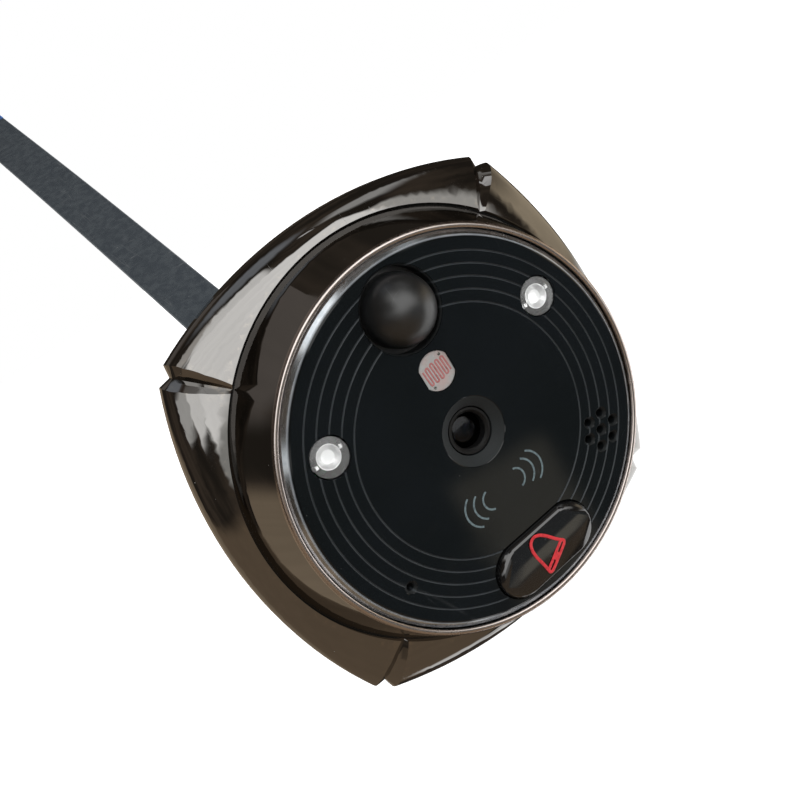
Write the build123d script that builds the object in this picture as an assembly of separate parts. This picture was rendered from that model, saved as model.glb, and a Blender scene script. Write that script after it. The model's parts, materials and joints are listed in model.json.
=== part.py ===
from build123d import *
import os
from math import atan2, cos, degrees, radians, sin, sqrt, tan

# Peephole door camera, outdoor unit. Millimetres.
# Every piece is drawn looking at the visitor's side of the door: x to the right, y up,
# and z as the level above the door's face. place_on_door turns the finished piece so
# that the face looks along -Y, +Z is up and the barrel runs into the door along +Y.

# Clearances
slip_fit = 0.1
free_gap = 0.2
overrun = 1.0

# Foam pad on the door
pad_thickness = 1.0
pad_inset = 1.2
pad_corner_inset = 3.0

# Housing: petal flange, groove and flared barrel. The lip's radius drives the rest.
lip_radius = 26.1
housing_height = 13.0
barrel_flare = 2.6
groove_width = 0.6
groove_depth = 0.5
petal_spread = 3.1
petal_bulge = 27.6
skirt_height = 1.3
barrel_height = 7.8
lip_width = 0.7
lip_round = 0.25
cavity_wall = 1.7
petal_start_angle = 25.0
petal_section_count = 5
side_count = 4

# Corner notches
notch_mouth_half_width = 2.1
notch_mouth_depth = 1.5
notch_tip_half_width = 0.55
notch_tip_depth = 0.4

# Corner pockets under the flange
pocket_wall = 1.45
pocket_width = 3.8
pocket_depth = 2.2
pocket_half_angle = 11.0

# Face plate
plate_rise = 0.4
plate_thickness = 2.2
plate_bevel_width = 1.1
plate_bevel_depth = 0.8
plate_glue_thickness = 0.2
plate_glue_inset = 0.2
ring_count = 5
ring_first_radius = 16.26
ring_pitch = 1.585
ring_width = 0.26
ring_depth = 0.1

# Circuit board
board_level = 6.0
board_thickness = 1.2
lead_hole_gap = 0.12

# Pillars moulded inside the housing
pillar_inset = 1.7
pillar_spread_angle = 32.5
pillar_radius = 2.8
pillar_foot_radius = 2.2
post_radius = 2.4
pilot_radius = 0.8
pilot_depth = 4.4

# Presence sensor and its dome
sensor_inset = 7.2
dome_radius = 4.7
dome_wall = 0.5
dome_drop = 0.8
dome_hole_radius = 5.35
dome_flange_radius = 5.9
dome_flange_thickness = 0.6
dome_hole_bevel = 0.25
dome_tube_radius = 6.1
dome_tube_wall = 0.85
sensor_can_radius = 4.1
sensor_base_radius = 4.6
sensor_base_thickness = 0.6
sensor_can_length = 3.6
sensor_window_width = 4.4
sensor_window_height = 3.2
sensor_window_depth = 0.3
sensor_lead_radius = 0.22
sensor_lead_ring_radius = 2.54

# Light emitting diodes
led_side = 17.2
led_height = 9.0
led_radius = 2.5
led_length = 8.7
led_crown = 0.5
led_flange_radius = 2.9
led_flange_thickness = 1.0
led_proud = 0.3
led_hole_radius = 2.7
led_cup_radius = 0.95
led_cup_length = 1.4
led_cup_depth = 0.6
led_cup_floor_radius = 0.5
led_cup_below_tip = 3.4
led_post_width = 0.7
led_post_gap = 0.35
led_lead_width = 0.5
led_lead_pitch = 2.54
led_lead_below_board = 1.3
lead_below_board = 0.65

# Photocell
photocell_height = 9.3
photocell_radius = 2.5
photocell_half_width = 2.15
photocell_thickness = 2.0
photocell_drop = 0.2
photocell_lead_radius = 0.25
photocell_lead_pitch = 3.4
photocell_spacer_radius = 2.3

# Camera lens, its holder and what is under it
lens_hole_radius = 3.2
lens_sink_radius = 4.6
lens_sink_depth = 1.0
lens_head_radius = 3.0
lens_head_drop = 1.1
lens_thread_radius = 3.5
lens_bottom_level = 8.4
lens_neck_level = 11.4
lens_rear_aperture = 1.7
lens_rear_radius = 2.0
lens_rear_thickness = 1.2
lens_stop_radius = 1.5
lens_stop_length = 1.2
lens_front_radius = 2.4
lens_front_thickness = 1.2
lens_front_crown = 0.35
lens_front_rim = 0.45
lens_mouth_flare = 0.3
holder_side = 9.4
holder_corner = 0.8
holder_base_thickness = 2.0
holder_neck_radius = 4.4
holder_neck_top = 10.4
holder_room_side = 7.0
holder_room_depth = 1.6
image_sensor_side = 6.4
image_sensor_thickness = 1.0
filter_side = 5.8
filter_thickness = 0.3

# Speaker
speaker_side = 16.0
speaker_drop = 11.6
speaker_radius = 4.1
speaker_ring_thickness = 0.5
speaker_basket_radius = 3.8
speaker_basket_length = 2.0
speaker_magnet_radius = 2.6
speaker_magnet_length = 0.9
speaker_front_gap = 0.5
speaker_room_depth = 0.3
diaphragm_radius = 3.4
diaphragm_thickness = 0.12
boot_wall = 0.4
boot_step_radius = 2.8
speaker_hole_radius = 0.55
speaker_hole_ring_radius = 2.25
speaker_hole_count = 6
hole_sink_radius = 0.9
hole_sink_depth = 0.35

# Microphone
microphone_side = -17.8
microphone_drop = 10.8
microphone_radius = 2.0
microphone_length = 1.5
microphone_front_gap = 0.6
microphone_boot_radius = 2.8
microphone_lead_radius = 0.2
microphone_lead_pitch = 1.3
microphone_hole_radius = 0.5
microphone_boot_bore = 1.4

# Doorbell button and its switch
button_inset = 6.0
button_length = 16.0
button_width = 7.6
button_proud = 0.9
button_ridge = 0.25
button_edge_round = 0.6
button_wall = 1.2
button_top_wall = 1.1
button_flange = 0.5
button_flange_thickness = 0.9
button_rest_gap = 0.1
button_travel = 0.5
button_stem_radius = 1.6
switch_side = 6.0
switch_corner = 0.5
switch_height = 3.5
switch_cover_thickness = 0.3
plunger_radius = 1.7
plunger_proud = 1.05
plunger_foot_radius = 1.9
plunger_foot_thickness = 0.3
plunger_foot_gap = 0.05
snap_dome_radius = 2.0
snap_dome_thickness = 0.15
snap_dome_drop = 1.4

# Chips on the rear of the board: side, height, width, depth, thickness
chip_thickness = 0.8
main_chip_side = 8.0
main_chip_place = (12.0, 4.5)
memory_chip_width = 5.0
memory_chip_depth = 4.0
memory_chip_place = (-11.8, 5.2)
power_chip_side = 3.0
power_chip_place = (-11.5, -3.2)

# Ribbon cable
ribbon_width = 11.5
ribbon_thickness = 0.3
ribbon_inner_level = 4.0
ribbon_bend_radius = 3.0
ribbon_start_drop = 11.0
connector_length = 15.0
connector_depth = 4.6
connector_height = 1.6
connector_mouth_depth = 2.0
connector_mouth_height = 0.5
contact_end_length = 6.0
contact_end_thickness = 0.5

# Route of the free ribbon behind the unit, from the barrel's mouth: distance into the
# door and height, chosen by hand. The first point is the middle of the mouth.
ribbon_route = [
    (26.0, 0.0), (35.2, 0.0), (44.7, 1.37), (53.9, 4.08), (62.6, 8.1), (79.0, 18.75),
    (107.0, 36.0), (140.0, 55.9), (174.0, 75.6), (197.0, 88.6),
]
bend_share = 0.45

# Rear cover, its seal and its screws
cover_thickness = 2.0
cover_wall = 1.5
cover_gap = 0.15
seal_inset = 1.2
seal_section = 1.0
screw_clearance_radius = 1.1
screw_head_radius = 2.0
screw_head_depth = 1.0
cover_screw_length = 5.6
pan_head_radius = 1.6
pan_head_height = 1.1
pan_head_round = 0.3
board_screw_length = 4.2

# Hollow threaded barrel through the door
barrel_outer_radius = 7.5
barrel_bore_radius = 6.1
barrel_length = 26.0
collar_radius = 13.4
collar_gap = 0.4
collar_screw_ring_radius = 10.8
collar_screw_count = 3
collar_screw_length = 1.6
collar_head_radius = 1.6
collar_head_depth = 0.7
collar_shank_radius = 0.8
barrel_bevel = 0.5

# Radii that follow from the lip's radius
barrel_root_radius = lip_radius + barrel_flare
petal_root_radius = barrel_root_radius + groove_width
flange_half_width = petal_root_radius + petal_spread
petal_side_radius = flange_half_width + petal_bulge
cavity_radius = lip_radius - cavity_wall
pillar_ring_radius = cavity_radius - pillar_inset
groove_middle_radius = (petal_root_radius + barrel_root_radius) / 2
recess_radius = lip_radius - lip_width
plate_radius = recess_radius - cover_gap
cover_radius = barrel_root_radius - cover_wall
seal_radius = cover_radius - seal_inset
pocket_inner_radius = cover_radius + cover_gap + pocket_wall
sensor_height = recess_radius - sensor_inset
button_drop = recess_radius - button_inset

# Levels above the door's face
rim_level = pad_thickness
skirt_level = rim_level + skirt_height
lip_level = rim_level + housing_height
groove_level = lip_level - barrel_height
face_level = lip_level + plate_rise
plate_back = face_level - plate_thickness
seat_level = plate_back - plate_glue_thickness
board_back = board_level - board_thickness
lead_end_level = board_back - lead_below_board
ledge_level = rim_level + cover_thickness

UP = (Align.CENTER, Align.CENTER, Align.MIN)


def polar(radius, angle):
    """Point on the face at a radius and an angle in degrees."""
    return (radius * cos(radians(angle)), radius * sin(radians(angle)))


def disc(radius, low, high, place=(0, 0)):
    """Round solid that stands between two levels."""
    return Pos(place[0], place[1], low) * Cylinder(radius, high - low, align=UP)


def tube(outer, inner, low, high, place=(0, 0)):
    """Round tube between two levels."""
    return disc(outer, low, high, place) - disc(inner, low - overrun, high + overrun, place)


def taper(low_radius, high_radius, low, high, place=(0, 0)):
    """Cone between two levels."""
    return Pos(place[0], place[1], low) * Cone(low_radius, high_radius, high - low, align=UP)


def block(width, depth, low, high, place=(0, 0), corner=0):
    """Square-sided solid between two levels, with rounded corners if given."""
    outline = RectangleRounded(width, depth, corner) if corner else Rectangle(width, depth)
    return extrude(Pos(place[0], place[1], low) * outline, amount=high - low)


def obround(length, width, low, high, place=(0, 0)):
    """Solid with two straight sides and two round ends."""
    return extrude(Pos(place[0], place[1], low) * SlotOverall(length, width), amount=high - low)


def turned(points, place=(0, 0)):
    """Solid of revolution: the points are radius and level."""
    profile = make_face(Polyline([(radius, 0, level) for radius, level in points], close=True))
    return Pos(place[0], place[1], 0) * revolve(profile, Axis.Z)


def diagonal_radius(half_width):
    """Corner of a square whose sides bulge, measured from its middle."""
    offset = petal_side_radius - flange_half_width
    side_radius = half_width + offset
    across = (sqrt(2 * side_radius ** 2 - offset ** 2) - offset) / 2
    return across * sqrt(2)


def bulged_square(middle_radius, corner_radius, level):
    """Square outline with four bulged sides."""
    sides = []
    for side in range(side_count):
        heading = side * 360 / side_count
        start = polar(corner_radius, heading - 180 / side_count)
        middle = polar(middle_radius, heading)
        end = polar(corner_radius, heading + 180 / side_count)
        sides.append(ThreePointArc(start, middle, end))
    return Pos(0, 0, level) * make_face(sides)


def petal_share(angle):
    """How far a petal has spread at an angle of its rounded profile, from 0 to 1."""
    start = sin(radians(petal_start_angle))
    return (sin(radians(angle)) - start) / (1 - start)


def petal_level(angle):
    """Level of a petal at an angle of its rounded profile."""
    drop = cos(radians(angle)) / cos(radians(petal_start_angle))
    return skirt_level + (groove_level - skirt_level) * drop


def petal_angles():
    """Angles of the petal's profile, from its skirt to its root."""
    step = (90 - petal_start_angle) / (petal_section_count - 1)
    return [90 - step * index for index in range(petal_section_count)]


def petal_corner(share):
    """Radius of a petal's corner where it has spread by a share."""
    return petal_root_radius + (diagonal_radius(flange_half_width) - petal_root_radius) * share


def petal_middle(share):
    """Radius of a petal's middle where it has spread by a share."""
    return petal_root_radius + (flange_half_width - petal_root_radius) * share


def petal_body():
    """Domed flange, lofted from the bulged square up to the round root."""
    sections = []
    for angle in petal_angles():
        share = petal_share(angle)
        sections.append(bulged_square(petal_middle(share), petal_corner(share), petal_level(angle)))
    rim = bulged_square(petal_middle(1), petal_corner(1), rim_level)
    return loft(sections) + extrude(rim, amount=skirt_height)


def notch_section(radius, level, slope, depth, half_width):
    """Open V across a corner, its point sunk below the petal's surface."""
    outward = Vector(cos(radians(slope)), 0, sin(radians(slope)))
    surface = Vector(radius, 0, level)
    valley = surface - outward * depth
    reach = (depth + overrun) / depth
    middle = surface + outward * overrun
    across = Vector(0, half_width * reach, 0)
    corners = [valley, middle + across, middle - across]
    return make_face(Polyline(corners, close=True))


def notch_cutter():
    """V groove that follows the petal's profile down a corner and widens to the rim."""
    sections = []
    for angle in reversed(petal_angles()):
        share = petal_share(angle)
        depth = notch_tip_depth + (notch_mouth_depth - notch_tip_depth) * share
        half_width = notch_tip_half_width + (notch_mouth_half_width - notch_tip_half_width) * share
        rise = (groove_level - skirt_level) / cos(radians(petal_start_angle))
        spread = (petal_corner(1) - petal_corner(0)) / (1 - sin(radians(petal_start_angle)))
        slope = degrees(atan2(spread * cos(radians(angle)), rise * sin(radians(angle))))
        sections.append(notch_section(petal_corner(share), petal_level(angle), slope, depth, half_width))
    foot_level = rim_level - overrun
    sections.append(notch_section(petal_corner(1), foot_level, 0, notch_mouth_depth, notch_mouth_half_width))
    return loft(sections, ruled=True)


def notch_inner_end():
    """Short V that carries the notch on into the groove round the barrel."""
    near = notch_section(petal_root_radius, groove_level, 90, notch_tip_depth, notch_tip_half_width)
    far = notch_section(groove_middle_radius, groove_level, 90, notch_tip_depth, notch_tip_half_width)
    return loft([far, near], ruled=True)


def pillar_angles():
    """Headings of the four long pillars that carry the rear cover."""
    spread = pillar_spread_angle
    return [90 - spread, 90 + spread, 270 - spread, 270 + spread]


def housing_inside():
    """Plate recess, main cavity and rear counterbore."""
    return (
        disc(cavity_radius, rim_level - overrun, seat_level + overrun)
        + disc(recess_radius, seat_level, lip_level + overrun)
        + disc(cover_radius + cover_gap, rim_level - overrun, ledge_level)
    )


def long_pillar(angle):
    """Stepped pillar: the board rests on the step, the rear cover on the foot."""
    place = polar(pillar_ring_radius, angle)
    return (
        disc(pillar_radius, board_level, seat_level, place)
        + disc(pillar_foot_radius, ledge_level, board_level, place)
    )


def flange_pocket(angle):
    """Pocket that lightens a corner of the flange from behind."""
    outer = pocket_inner_radius + pocket_width
    ring = tube(outer, pocket_inner_radius, rim_level - overrun, rim_level + pocket_depth)
    half = outer * tan(radians(pocket_half_angle))
    keep = block(outer, half * 2, rim_level - overrun, rim_level + pocket_depth, (outer / 2, 0))
    return Rot(0, 0, angle) * (ring & keep)


def housing():
    """Petal flange and flared barrel in one moulding."""
    flare = taper(barrel_root_radius, lip_radius, groove_level, lip_level)
    rim_edge = flare.edges().filter_by(GeomType.CIRCLE).sort_by(Axis.Z)[-1]
    flare = fillet(rim_edge, lip_round)
    body = petal_body() + flare
    body -= turned([
        (barrel_root_radius, groove_level), (petal_root_radius, groove_level),
        (groove_middle_radius, groove_level - groove_depth),
    ])
    cutter = notch_cutter() + notch_inner_end()
    for side in range(side_count):
        heading = (side * 360 + 180) / side_count
        body -= Rot(0, 0, heading) * cutter
        body -= flange_pocket(heading)
    body -= housing_inside()
    for angle in pillar_angles():
        body += long_pillar(angle)
    for angle in (0, 180):
        body += disc(post_radius, board_level, seat_level, polar(pillar_ring_radius, angle))
    for angle in pillar_angles():
        place = polar(pillar_ring_radius, angle)
        body -= disc(pilot_radius, ledge_level - overrun, ledge_level + pilot_depth, place)
    for angle in (0, 180):
        place = polar(pillar_ring_radius, angle)
        body -= disc(pilot_radius, board_level - overrun, board_level + pilot_depth, place)
    return body


def ring_groove(radius):
    """One fine engraved ring of the plate."""
    half = ring_width / 2
    return turned([
        (radius - half, face_level), (radius + half, face_level), (radius, face_level - ring_depth),
    ])


def sunk_hole(radius, place):
    """Small hole through the plate with a countersunk mouth."""
    straight = disc(radius, plate_back - overrun, face_level + overrun, place)
    return straight + taper(radius, hole_sink_radius, face_level - hole_sink_depth, face_level, place)


def speaker_places():
    """Places of the speaker holes: one in the middle and a ring round it."""
    middle = (speaker_side, -speaker_drop)
    places = [middle]
    for index in range(speaker_hole_count):
        x, y = polar(speaker_hole_ring_radius, index * 360 / speaker_hole_count)
        places.append((middle[0] + x, middle[1] + y))
    return places


def photocell_outline(grow, low, high):
    """Round cell with two flat sides."""
    round_part = disc(photocell_radius + grow, low, high, (0, photocell_height))
    width = (photocell_half_width + grow) * 2
    depth = (photocell_radius + grow) * 2 + overrun
    return round_part & block(width, depth, low, high, (0, photocell_height))


def face_plate():
    """Gloss plate with a bevelled edge, engraved rings and all its holes."""
    bevel_level = face_level - plate_bevel_depth
    plate = disc(plate_radius, plate_back, bevel_level)
    plate += taper(plate_radius, plate_radius - plate_bevel_width, bevel_level, face_level)
    for index in range(ring_count):
        plate -= ring_groove(ring_first_radius + ring_pitch * index)
    low = plate_back - overrun
    high = face_level + overrun
    for side in (-led_side, led_side):
        plate -= disc(led_hole_radius, low, high, (side, led_height))
    plate -= disc(dome_hole_radius, low, high, (0, sensor_height))
    plate -= taper(
        dome_hole_radius, dome_hole_radius + dome_hole_bevel,
        face_level - dome_hole_bevel, face_level, (0, sensor_height),
    )
    plate -= photocell_outline(slip_fit, low, high)
    plate -= disc(lens_hole_radius, low, high)
    plate -= taper(lens_hole_radius, lens_sink_radius, face_level - lens_sink_depth, face_level)
    for place in speaker_places():
        plate -= sunk_hole(speaker_hole_radius, place)
    plate -= sunk_hole(microphone_hole_radius, (microphone_side, -microphone_drop))
    hole_length = button_length + free_gap * 2
    hole_width = button_width + free_gap * 2
    plate -= obround(hole_length, hole_width, low, high, (0, -button_drop))
    return plate


def plate_glue():
    """Ring of adhesive between the plate and its seat, open at the button."""
    ring = tube(recess_radius - plate_glue_inset, cavity_radius, seat_level, plate_back)
    reach = button_width + button_flange * 2 + free_gap * 4
    length = button_length + button_flange * 2 + free_gap * 4
    return ring - obround(length, reach, seat_level - overrun, plate_back + overrun, (0, -button_drop))


def pir_dome():
    """Thin dome with a straight skirt and a flange behind the plate."""
    middle = face_level - dome_drop
    outer = Pos(0, sensor_height, middle) * Sphere(dome_radius)
    inner = Pos(0, sensor_height, middle) * Sphere(dome_radius - dome_wall)
    above = disc(dome_radius + overrun, middle, middle + dome_radius + overrun, (0, sensor_height))
    flange_low = plate_back - dome_flange_thickness
    shell = (outer & above) + disc(dome_radius, flange_low, middle, (0, sensor_height))
    shell += disc(dome_flange_radius, flange_low, plate_back, (0, sensor_height))
    shell -= inner
    return shell - disc(dome_radius - dome_wall, flange_low - overrun, middle, (0, sensor_height))


def pir_holder():
    """Tube on the board that carries the dome's flange."""
    top = plate_back - dome_flange_thickness
    inner = dome_tube_radius - dome_tube_wall
    return tube(dome_tube_radius, inner, board_level, top, (0, sensor_height))


def sensor_lead_places():
    """Three leads of the metal can."""
    places = []
    for angle in (180, 270, 0):
        x, y = polar(sensor_lead_ring_radius, angle)
        places.append((x, sensor_height + y))
    return places


def pir_sensor():
    """Metal can with a window in its top and three leads through the board."""
    place = (0, sensor_height)
    base_top = board_level + sensor_base_thickness
    can_top = board_level + sensor_can_length
    can = disc(sensor_base_radius, board_level, base_top, place)
    can += disc(sensor_can_radius, base_top, can_top, place)
    can -= block(
        sensor_window_width, sensor_window_height,
        can_top - sensor_window_depth, can_top + overrun, place,
    )
    for lead in sensor_lead_places():
        can += disc(sensor_lead_radius, lead_end_level, board_level, lead)
    return can


def led_frame(side):
    """Two metal legs in the clear body: one ends in a cup, the other in a plain post."""
    tip = face_level + led_proud
    cup_top = tip - led_cup_below_tip
    cup_low = cup_top - led_cup_length
    foot = board_back - led_lead_below_board
    half_pitch = led_lead_pitch / 2
    cup_place = (side, led_height)
    cup = disc(led_cup_radius, cup_low, cup_top, cup_place)
    cup -= taper(led_cup_floor_radius, led_cup_radius, cup_top - led_cup_depth, cup_top, cup_place)
    lead_place = (side - half_pitch, led_height)
    arm_width = half_pitch + led_lead_width / 2
    arm_place = (side - half_pitch / 2 - led_lead_width / 4, led_height)
    cup += block(arm_width, led_lead_width, cup_low - led_post_width, cup_low, arm_place)
    cup += block(led_lead_width, led_lead_width, foot, cup_low, lead_place)
    post_place = (side + half_pitch, led_height)
    post = block(led_lead_width, led_lead_width, foot, cup_top - led_post_gap, post_place)
    return [cup, post]


def led_body(side):
    """Clear body with a shallow crown and a flange, hollow where the legs run."""
    tip = face_level + led_proud
    base = tip - led_length
    place = (side, led_height)
    shoulder = tip - led_crown
    body = disc(led_radius, base, shoulder, place)
    ball = cap_sphere_radius(led_radius, led_crown)
    cap = Pos(side, led_height, tip - ball) * Sphere(ball)
    body += cap & disc(led_radius, shoulder, tip + overrun, place)
    body += disc(led_flange_radius, base, base + led_flange_thickness, place)
    for piece in led_frame(side):
        body -= piece
    return body


def leds():
    """Both clear bodies."""
    return [led_body(-led_side), led_body(led_side)]


def led_lead_frames():
    """Metal legs of both diodes."""
    return led_frame(-led_side) + led_frame(led_side)


def photocell_lead_places():
    """Two wires of the photocell."""
    half = photocell_lead_pitch / 2
    return [(0, photocell_height - half), (0, photocell_height + half)]


def photocell():
    """Flat cell on two wires."""
    top = face_level - photocell_drop
    cell = photocell_outline(0, top - photocell_thickness, top)
    for place in photocell_lead_places():
        cell += disc(photocell_lead_radius, lead_end_level, top - photocell_thickness, place)
    return cell


def photocell_spacer():
    """Sleeve that holds the cell at its height over the board."""
    top = face_level - photocell_drop - photocell_thickness
    sleeve = disc(photocell_spacer_radius, board_level, top, (0, photocell_height))
    for place in photocell_lead_places():
        sleeve -= disc(photocell_lead_radius, board_level - overrun, top + overrun, place)
    return sleeve


def lens_barrel():
    """Threaded barrel with a slimmer head and stepped seats for the glass."""
    head_top = face_level - lens_head_drop
    rear_seat = lens_bottom_level + (lens_rear_radius - lens_rear_aperture) * 2
    rear_top = rear_seat + lens_rear_thickness
    stop_top = rear_top + lens_stop_length
    front_top = head_top - lens_mouth_flare
    return turned([
        (lens_rear_aperture, lens_bottom_level), (lens_thread_radius, lens_bottom_level),
        (lens_thread_radius, lens_neck_level), (lens_head_radius, lens_neck_level),
        (lens_head_radius, head_top), (lens_front_radius + lens_mouth_flare, head_top),
        (lens_front_radius, front_top), (lens_front_radius, stop_top),
        (lens_stop_radius, stop_top), (lens_stop_radius, rear_top),
        (lens_rear_radius, rear_top), (lens_rear_radius, rear_seat),
        (lens_rear_aperture, rear_seat),
    ])


def front_seat_level():
    """Level on which the front glass sits in its barrel."""
    rear_seat = lens_bottom_level + (lens_rear_radius - lens_rear_aperture) * 2
    return rear_seat + lens_rear_thickness + lens_stop_length


def cap_sphere_radius(radius, crown):
    """Radius of the sphere whose cap has a given radius and height."""
    return (radius ** 2 + crown ** 2) / (2 * crown)


def lens_front():
    """Front glass: a rim under a shallow crown."""
    low = front_seat_level()
    rim_top = low + lens_front_rim
    crown = lens_front_thickness - lens_front_rim
    ball = cap_sphere_radius(lens_front_radius, crown)
    cap = Pos(0, 0, rim_top + crown - ball) * Sphere(ball)
    cap &= disc(lens_front_radius, rim_top, rim_top + crown + overrun)
    return disc(lens_front_radius, low, rim_top) + cap


def lens_rear():
    """Rear glass: flat behind and crowned in front."""
    low = lens_bottom_level + (lens_rear_radius - lens_rear_aperture) * 2
    rim_top = low + lens_rear_thickness - lens_front_crown
    ball = cap_sphere_radius(lens_rear_radius, lens_front_crown)
    cap = Pos(0, 0, rim_top + lens_front_crown - ball) * Sphere(ball)
    cap &= disc(lens_rear_radius, rim_top, rim_top + lens_front_crown + overrun)
    return disc(lens_rear_radius, low, rim_top) + cap


def lens_holder():
    """Square base over the image sensor with a round threaded neck."""
    base_top = board_level + holder_base_thickness
    holder = block(holder_side, holder_side, board_level, base_top, corner=holder_corner)
    holder += disc(holder_neck_radius, base_top, holder_neck_top)
    room_top = board_level + holder_room_depth
    holder -= block(holder_room_side, holder_room_side, board_level - overrun, room_top)
    holder -= block(filter_side, filter_side, room_top - overrun, room_top + filter_thickness)
    holder -= disc(lens_front_radius, room_top, lens_bottom_level)
    return holder - disc(lens_thread_radius, lens_bottom_level, holder_neck_top + overrun)


def ir_filter():
    """Square of filter glass in its seat under the lens."""
    low = board_level + holder_room_depth
    return block(filter_side, filter_side, low, low + filter_thickness)


def image_sensor():
    """Image chip on the board."""
    side = image_sensor_side
    return block(side, side, board_level, board_level + image_sensor_thickness)


def speaker_levels():
    """Levels of the speaker's ring top, ring foot, basket foot and magnet foot."""
    ring_top = plate_back - speaker_front_gap
    ring_low = ring_top - speaker_ring_thickness
    basket_low = ring_low - speaker_basket_length
    return ring_top, ring_low, basket_low, basket_low - speaker_magnet_length


def speaker():
    """Basket with a rim, and the magnet pot behind it."""
    ring_top, ring_low, basket_low, magnet_low = speaker_levels()
    place = (speaker_side, -speaker_drop)
    body = disc(speaker_radius, ring_low, ring_top, place)
    body += disc(speaker_basket_radius, basket_low, ring_low, place)
    body += disc(speaker_magnet_radius, magnet_low, basket_low, place)
    return body - disc(diaphragm_radius, ring_top - speaker_room_depth, ring_top + overrun, place)


def speaker_diaphragm():
    """Thin round film in the front of the speaker."""
    floor = speaker_levels()[0] - speaker_room_depth
    return disc(diaphragm_radius, floor, floor + diaphragm_thickness, (speaker_side, -speaker_drop))


def speaker_boot():
    """Rubber cup that seals the speaker to the plate and stands on the board."""
    place = (speaker_side, -speaker_drop)
    basket_low = speaker_levels()[2]
    ring_low = speaker_levels()[1]
    boot = disc(speaker_radius + boot_wall, board_level, plate_back, place)
    boot -= disc(speaker_radius, ring_low, plate_back + overrun, place)
    boot -= disc(speaker_basket_radius, basket_low, ring_low, place)
    return boot - disc(boot_step_radius, board_level - overrun, basket_low, place)


def microphone_lead_places():
    """Two short leads of the microphone."""
    half = microphone_lead_pitch / 2
    return [(microphone_side - half, -microphone_drop), (microphone_side + half, -microphone_drop)]


def microphone():
    """Round capsule with a sound hole in front and two leads to the board."""
    place = (microphone_side, -microphone_drop)
    top = plate_back - microphone_front_gap
    low = top - microphone_length
    capsule = disc(microphone_radius, low, top, place)
    capsule -= disc(microphone_hole_radius, top - speaker_room_depth, top + overrun, place)
    for lead in microphone_lead_places():
        capsule += disc(microphone_lead_radius, lead_end_level, low, lead)
    return capsule


def microphone_boot():
    """Rubber sleeve between the plate and the board, closed but for a sound hole."""
    place = (microphone_side, -microphone_drop)
    top = plate_back - microphone_front_gap
    low = top - microphone_length
    boot = disc(microphone_boot_radius, board_level, plate_back, place)
    boot -= disc(microphone_radius, low, top, place)
    boot -= disc(microphone_hole_radius, top, plate_back + overrun, place)
    return boot - disc(microphone_boot_bore, board_level - overrun, low, place)


def button_levels():
    """Levels of the button's flange foot, flange top, crown edge and ridge."""
    flange_top = plate_back - button_rest_gap
    flange_low = flange_top - button_flange_thickness
    crown = face_level + button_proud
    return flange_low, flange_top, crown, crown + button_ridge


def bell_button():
    """Hollow cap with a shallow ridge along its face, a flange and a stem."""
    flange_low, flange_top, crown, ridge = button_levels()
    place = (0, -button_drop)
    cap = obround(button_length, button_width, flange_top, ridge, place)
    half = button_width / 2 + overrun
    slope = button_ridge / (button_width / 2)
    edge = ridge - slope * half
    roof = make_face(Polyline([
        (0, half, edge), (0, half, ridge + overrun), (0, -half, ridge + overrun),
        (0, -half, edge), (0, 0, ridge),
    ], close=True))
    above = extrude(roof, amount=button_length, both=True)
    cap -= Pos(place[0], place[1], 0) * above
    top_edges = cap.edges().filter_by_position(Axis.Z, crown - slip_fit, ridge - slip_fit)
    cap = chamfer(top_edges, button_edge_round)
    flange_length = button_length + button_flange * 2
    flange_width = button_width + button_flange * 2
    cap += obround(flange_length, flange_width, flange_low, flange_top, place)
    room_length = button_length - button_wall * 2
    room_width = button_width - button_wall * 2
    cap -= obround(room_length, room_width, flange_low - overrun, crown - button_top_wall, place)
    stem_low = plunger_levels()[2] + button_rest_gap
    return cap + disc(button_stem_radius, stem_low, crown - button_top_wall, place)


def plunger_levels():
    """Levels of the plunger's foot, the foot's top and the plunger's top."""
    switch_top = board_level + switch_height
    foot_top = switch_top - switch_cover_thickness - plunger_foot_gap
    return foot_top - plunger_foot_thickness, foot_top, switch_top + plunger_proud


def switch_body():
    """Square tact switch with a thin metal cover and a round room for the plunger."""
    place = (0, -button_drop)
    top = board_level + switch_height
    cover_low = top - switch_cover_thickness
    body = block(switch_side, switch_side, board_level, cover_low, place, switch_corner)
    cover_side = switch_side - switch_corner
    body += block(cover_side, cover_side, cover_low, top, place, switch_corner)
    floor = top - snap_dome_drop
    body -= disc(snap_dome_radius, floor, cover_low, place)
    return body - disc(plunger_radius + slip_fit, floor, top + overrun, place)


def switch_plunger():
    """Round plunger that the button's stem pushes, kept in by its wider foot."""
    low, foot_top, top = plunger_levels()
    place = (0, -button_drop)
    foot = disc(plunger_foot_radius, low, foot_top, place)
    return foot + disc(plunger_radius, foot_top, top, place)


def switch_dome():
    """Springy metal disc under the plunger."""
    floor = board_level + switch_height - snap_dome_drop
    return disc(snap_dome_radius, floor, floor + snap_dome_thickness, (0, -button_drop))


def lead_holes():
    """Holes in the board for every wire lead: place and radius."""
    holes = [(place, sensor_lead_radius) for place in sensor_lead_places()]
    holes += [(place, photocell_lead_radius) for place in photocell_lead_places()]
    holes += [(place, microphone_lead_radius) for place in microphone_lead_places()]
    half_pitch = led_lead_pitch / 2
    corner = led_lead_width / sqrt(2)
    for side in (-led_side, led_side):
        holes += [((side + way * half_pitch, led_height), corner) for way in (-1, 1)]
    return holes


def main_board():
    """Round circuit board, notched round the long pillars."""
    board = disc(cavity_radius - free_gap, board_back, board_level)
    low = board_back - overrun
    high = board_level + overrun
    for angle in pillar_angles():
        board -= disc(pillar_foot_radius + slip_fit, low, high, polar(pillar_ring_radius, angle))
    for angle in (0, 180):
        board -= disc(screw_clearance_radius, low, high, polar(pillar_ring_radius, angle))
    for place, radius in lead_holes():
        board -= disc(radius + lead_hole_gap, low, high, place)
    return board


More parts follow.
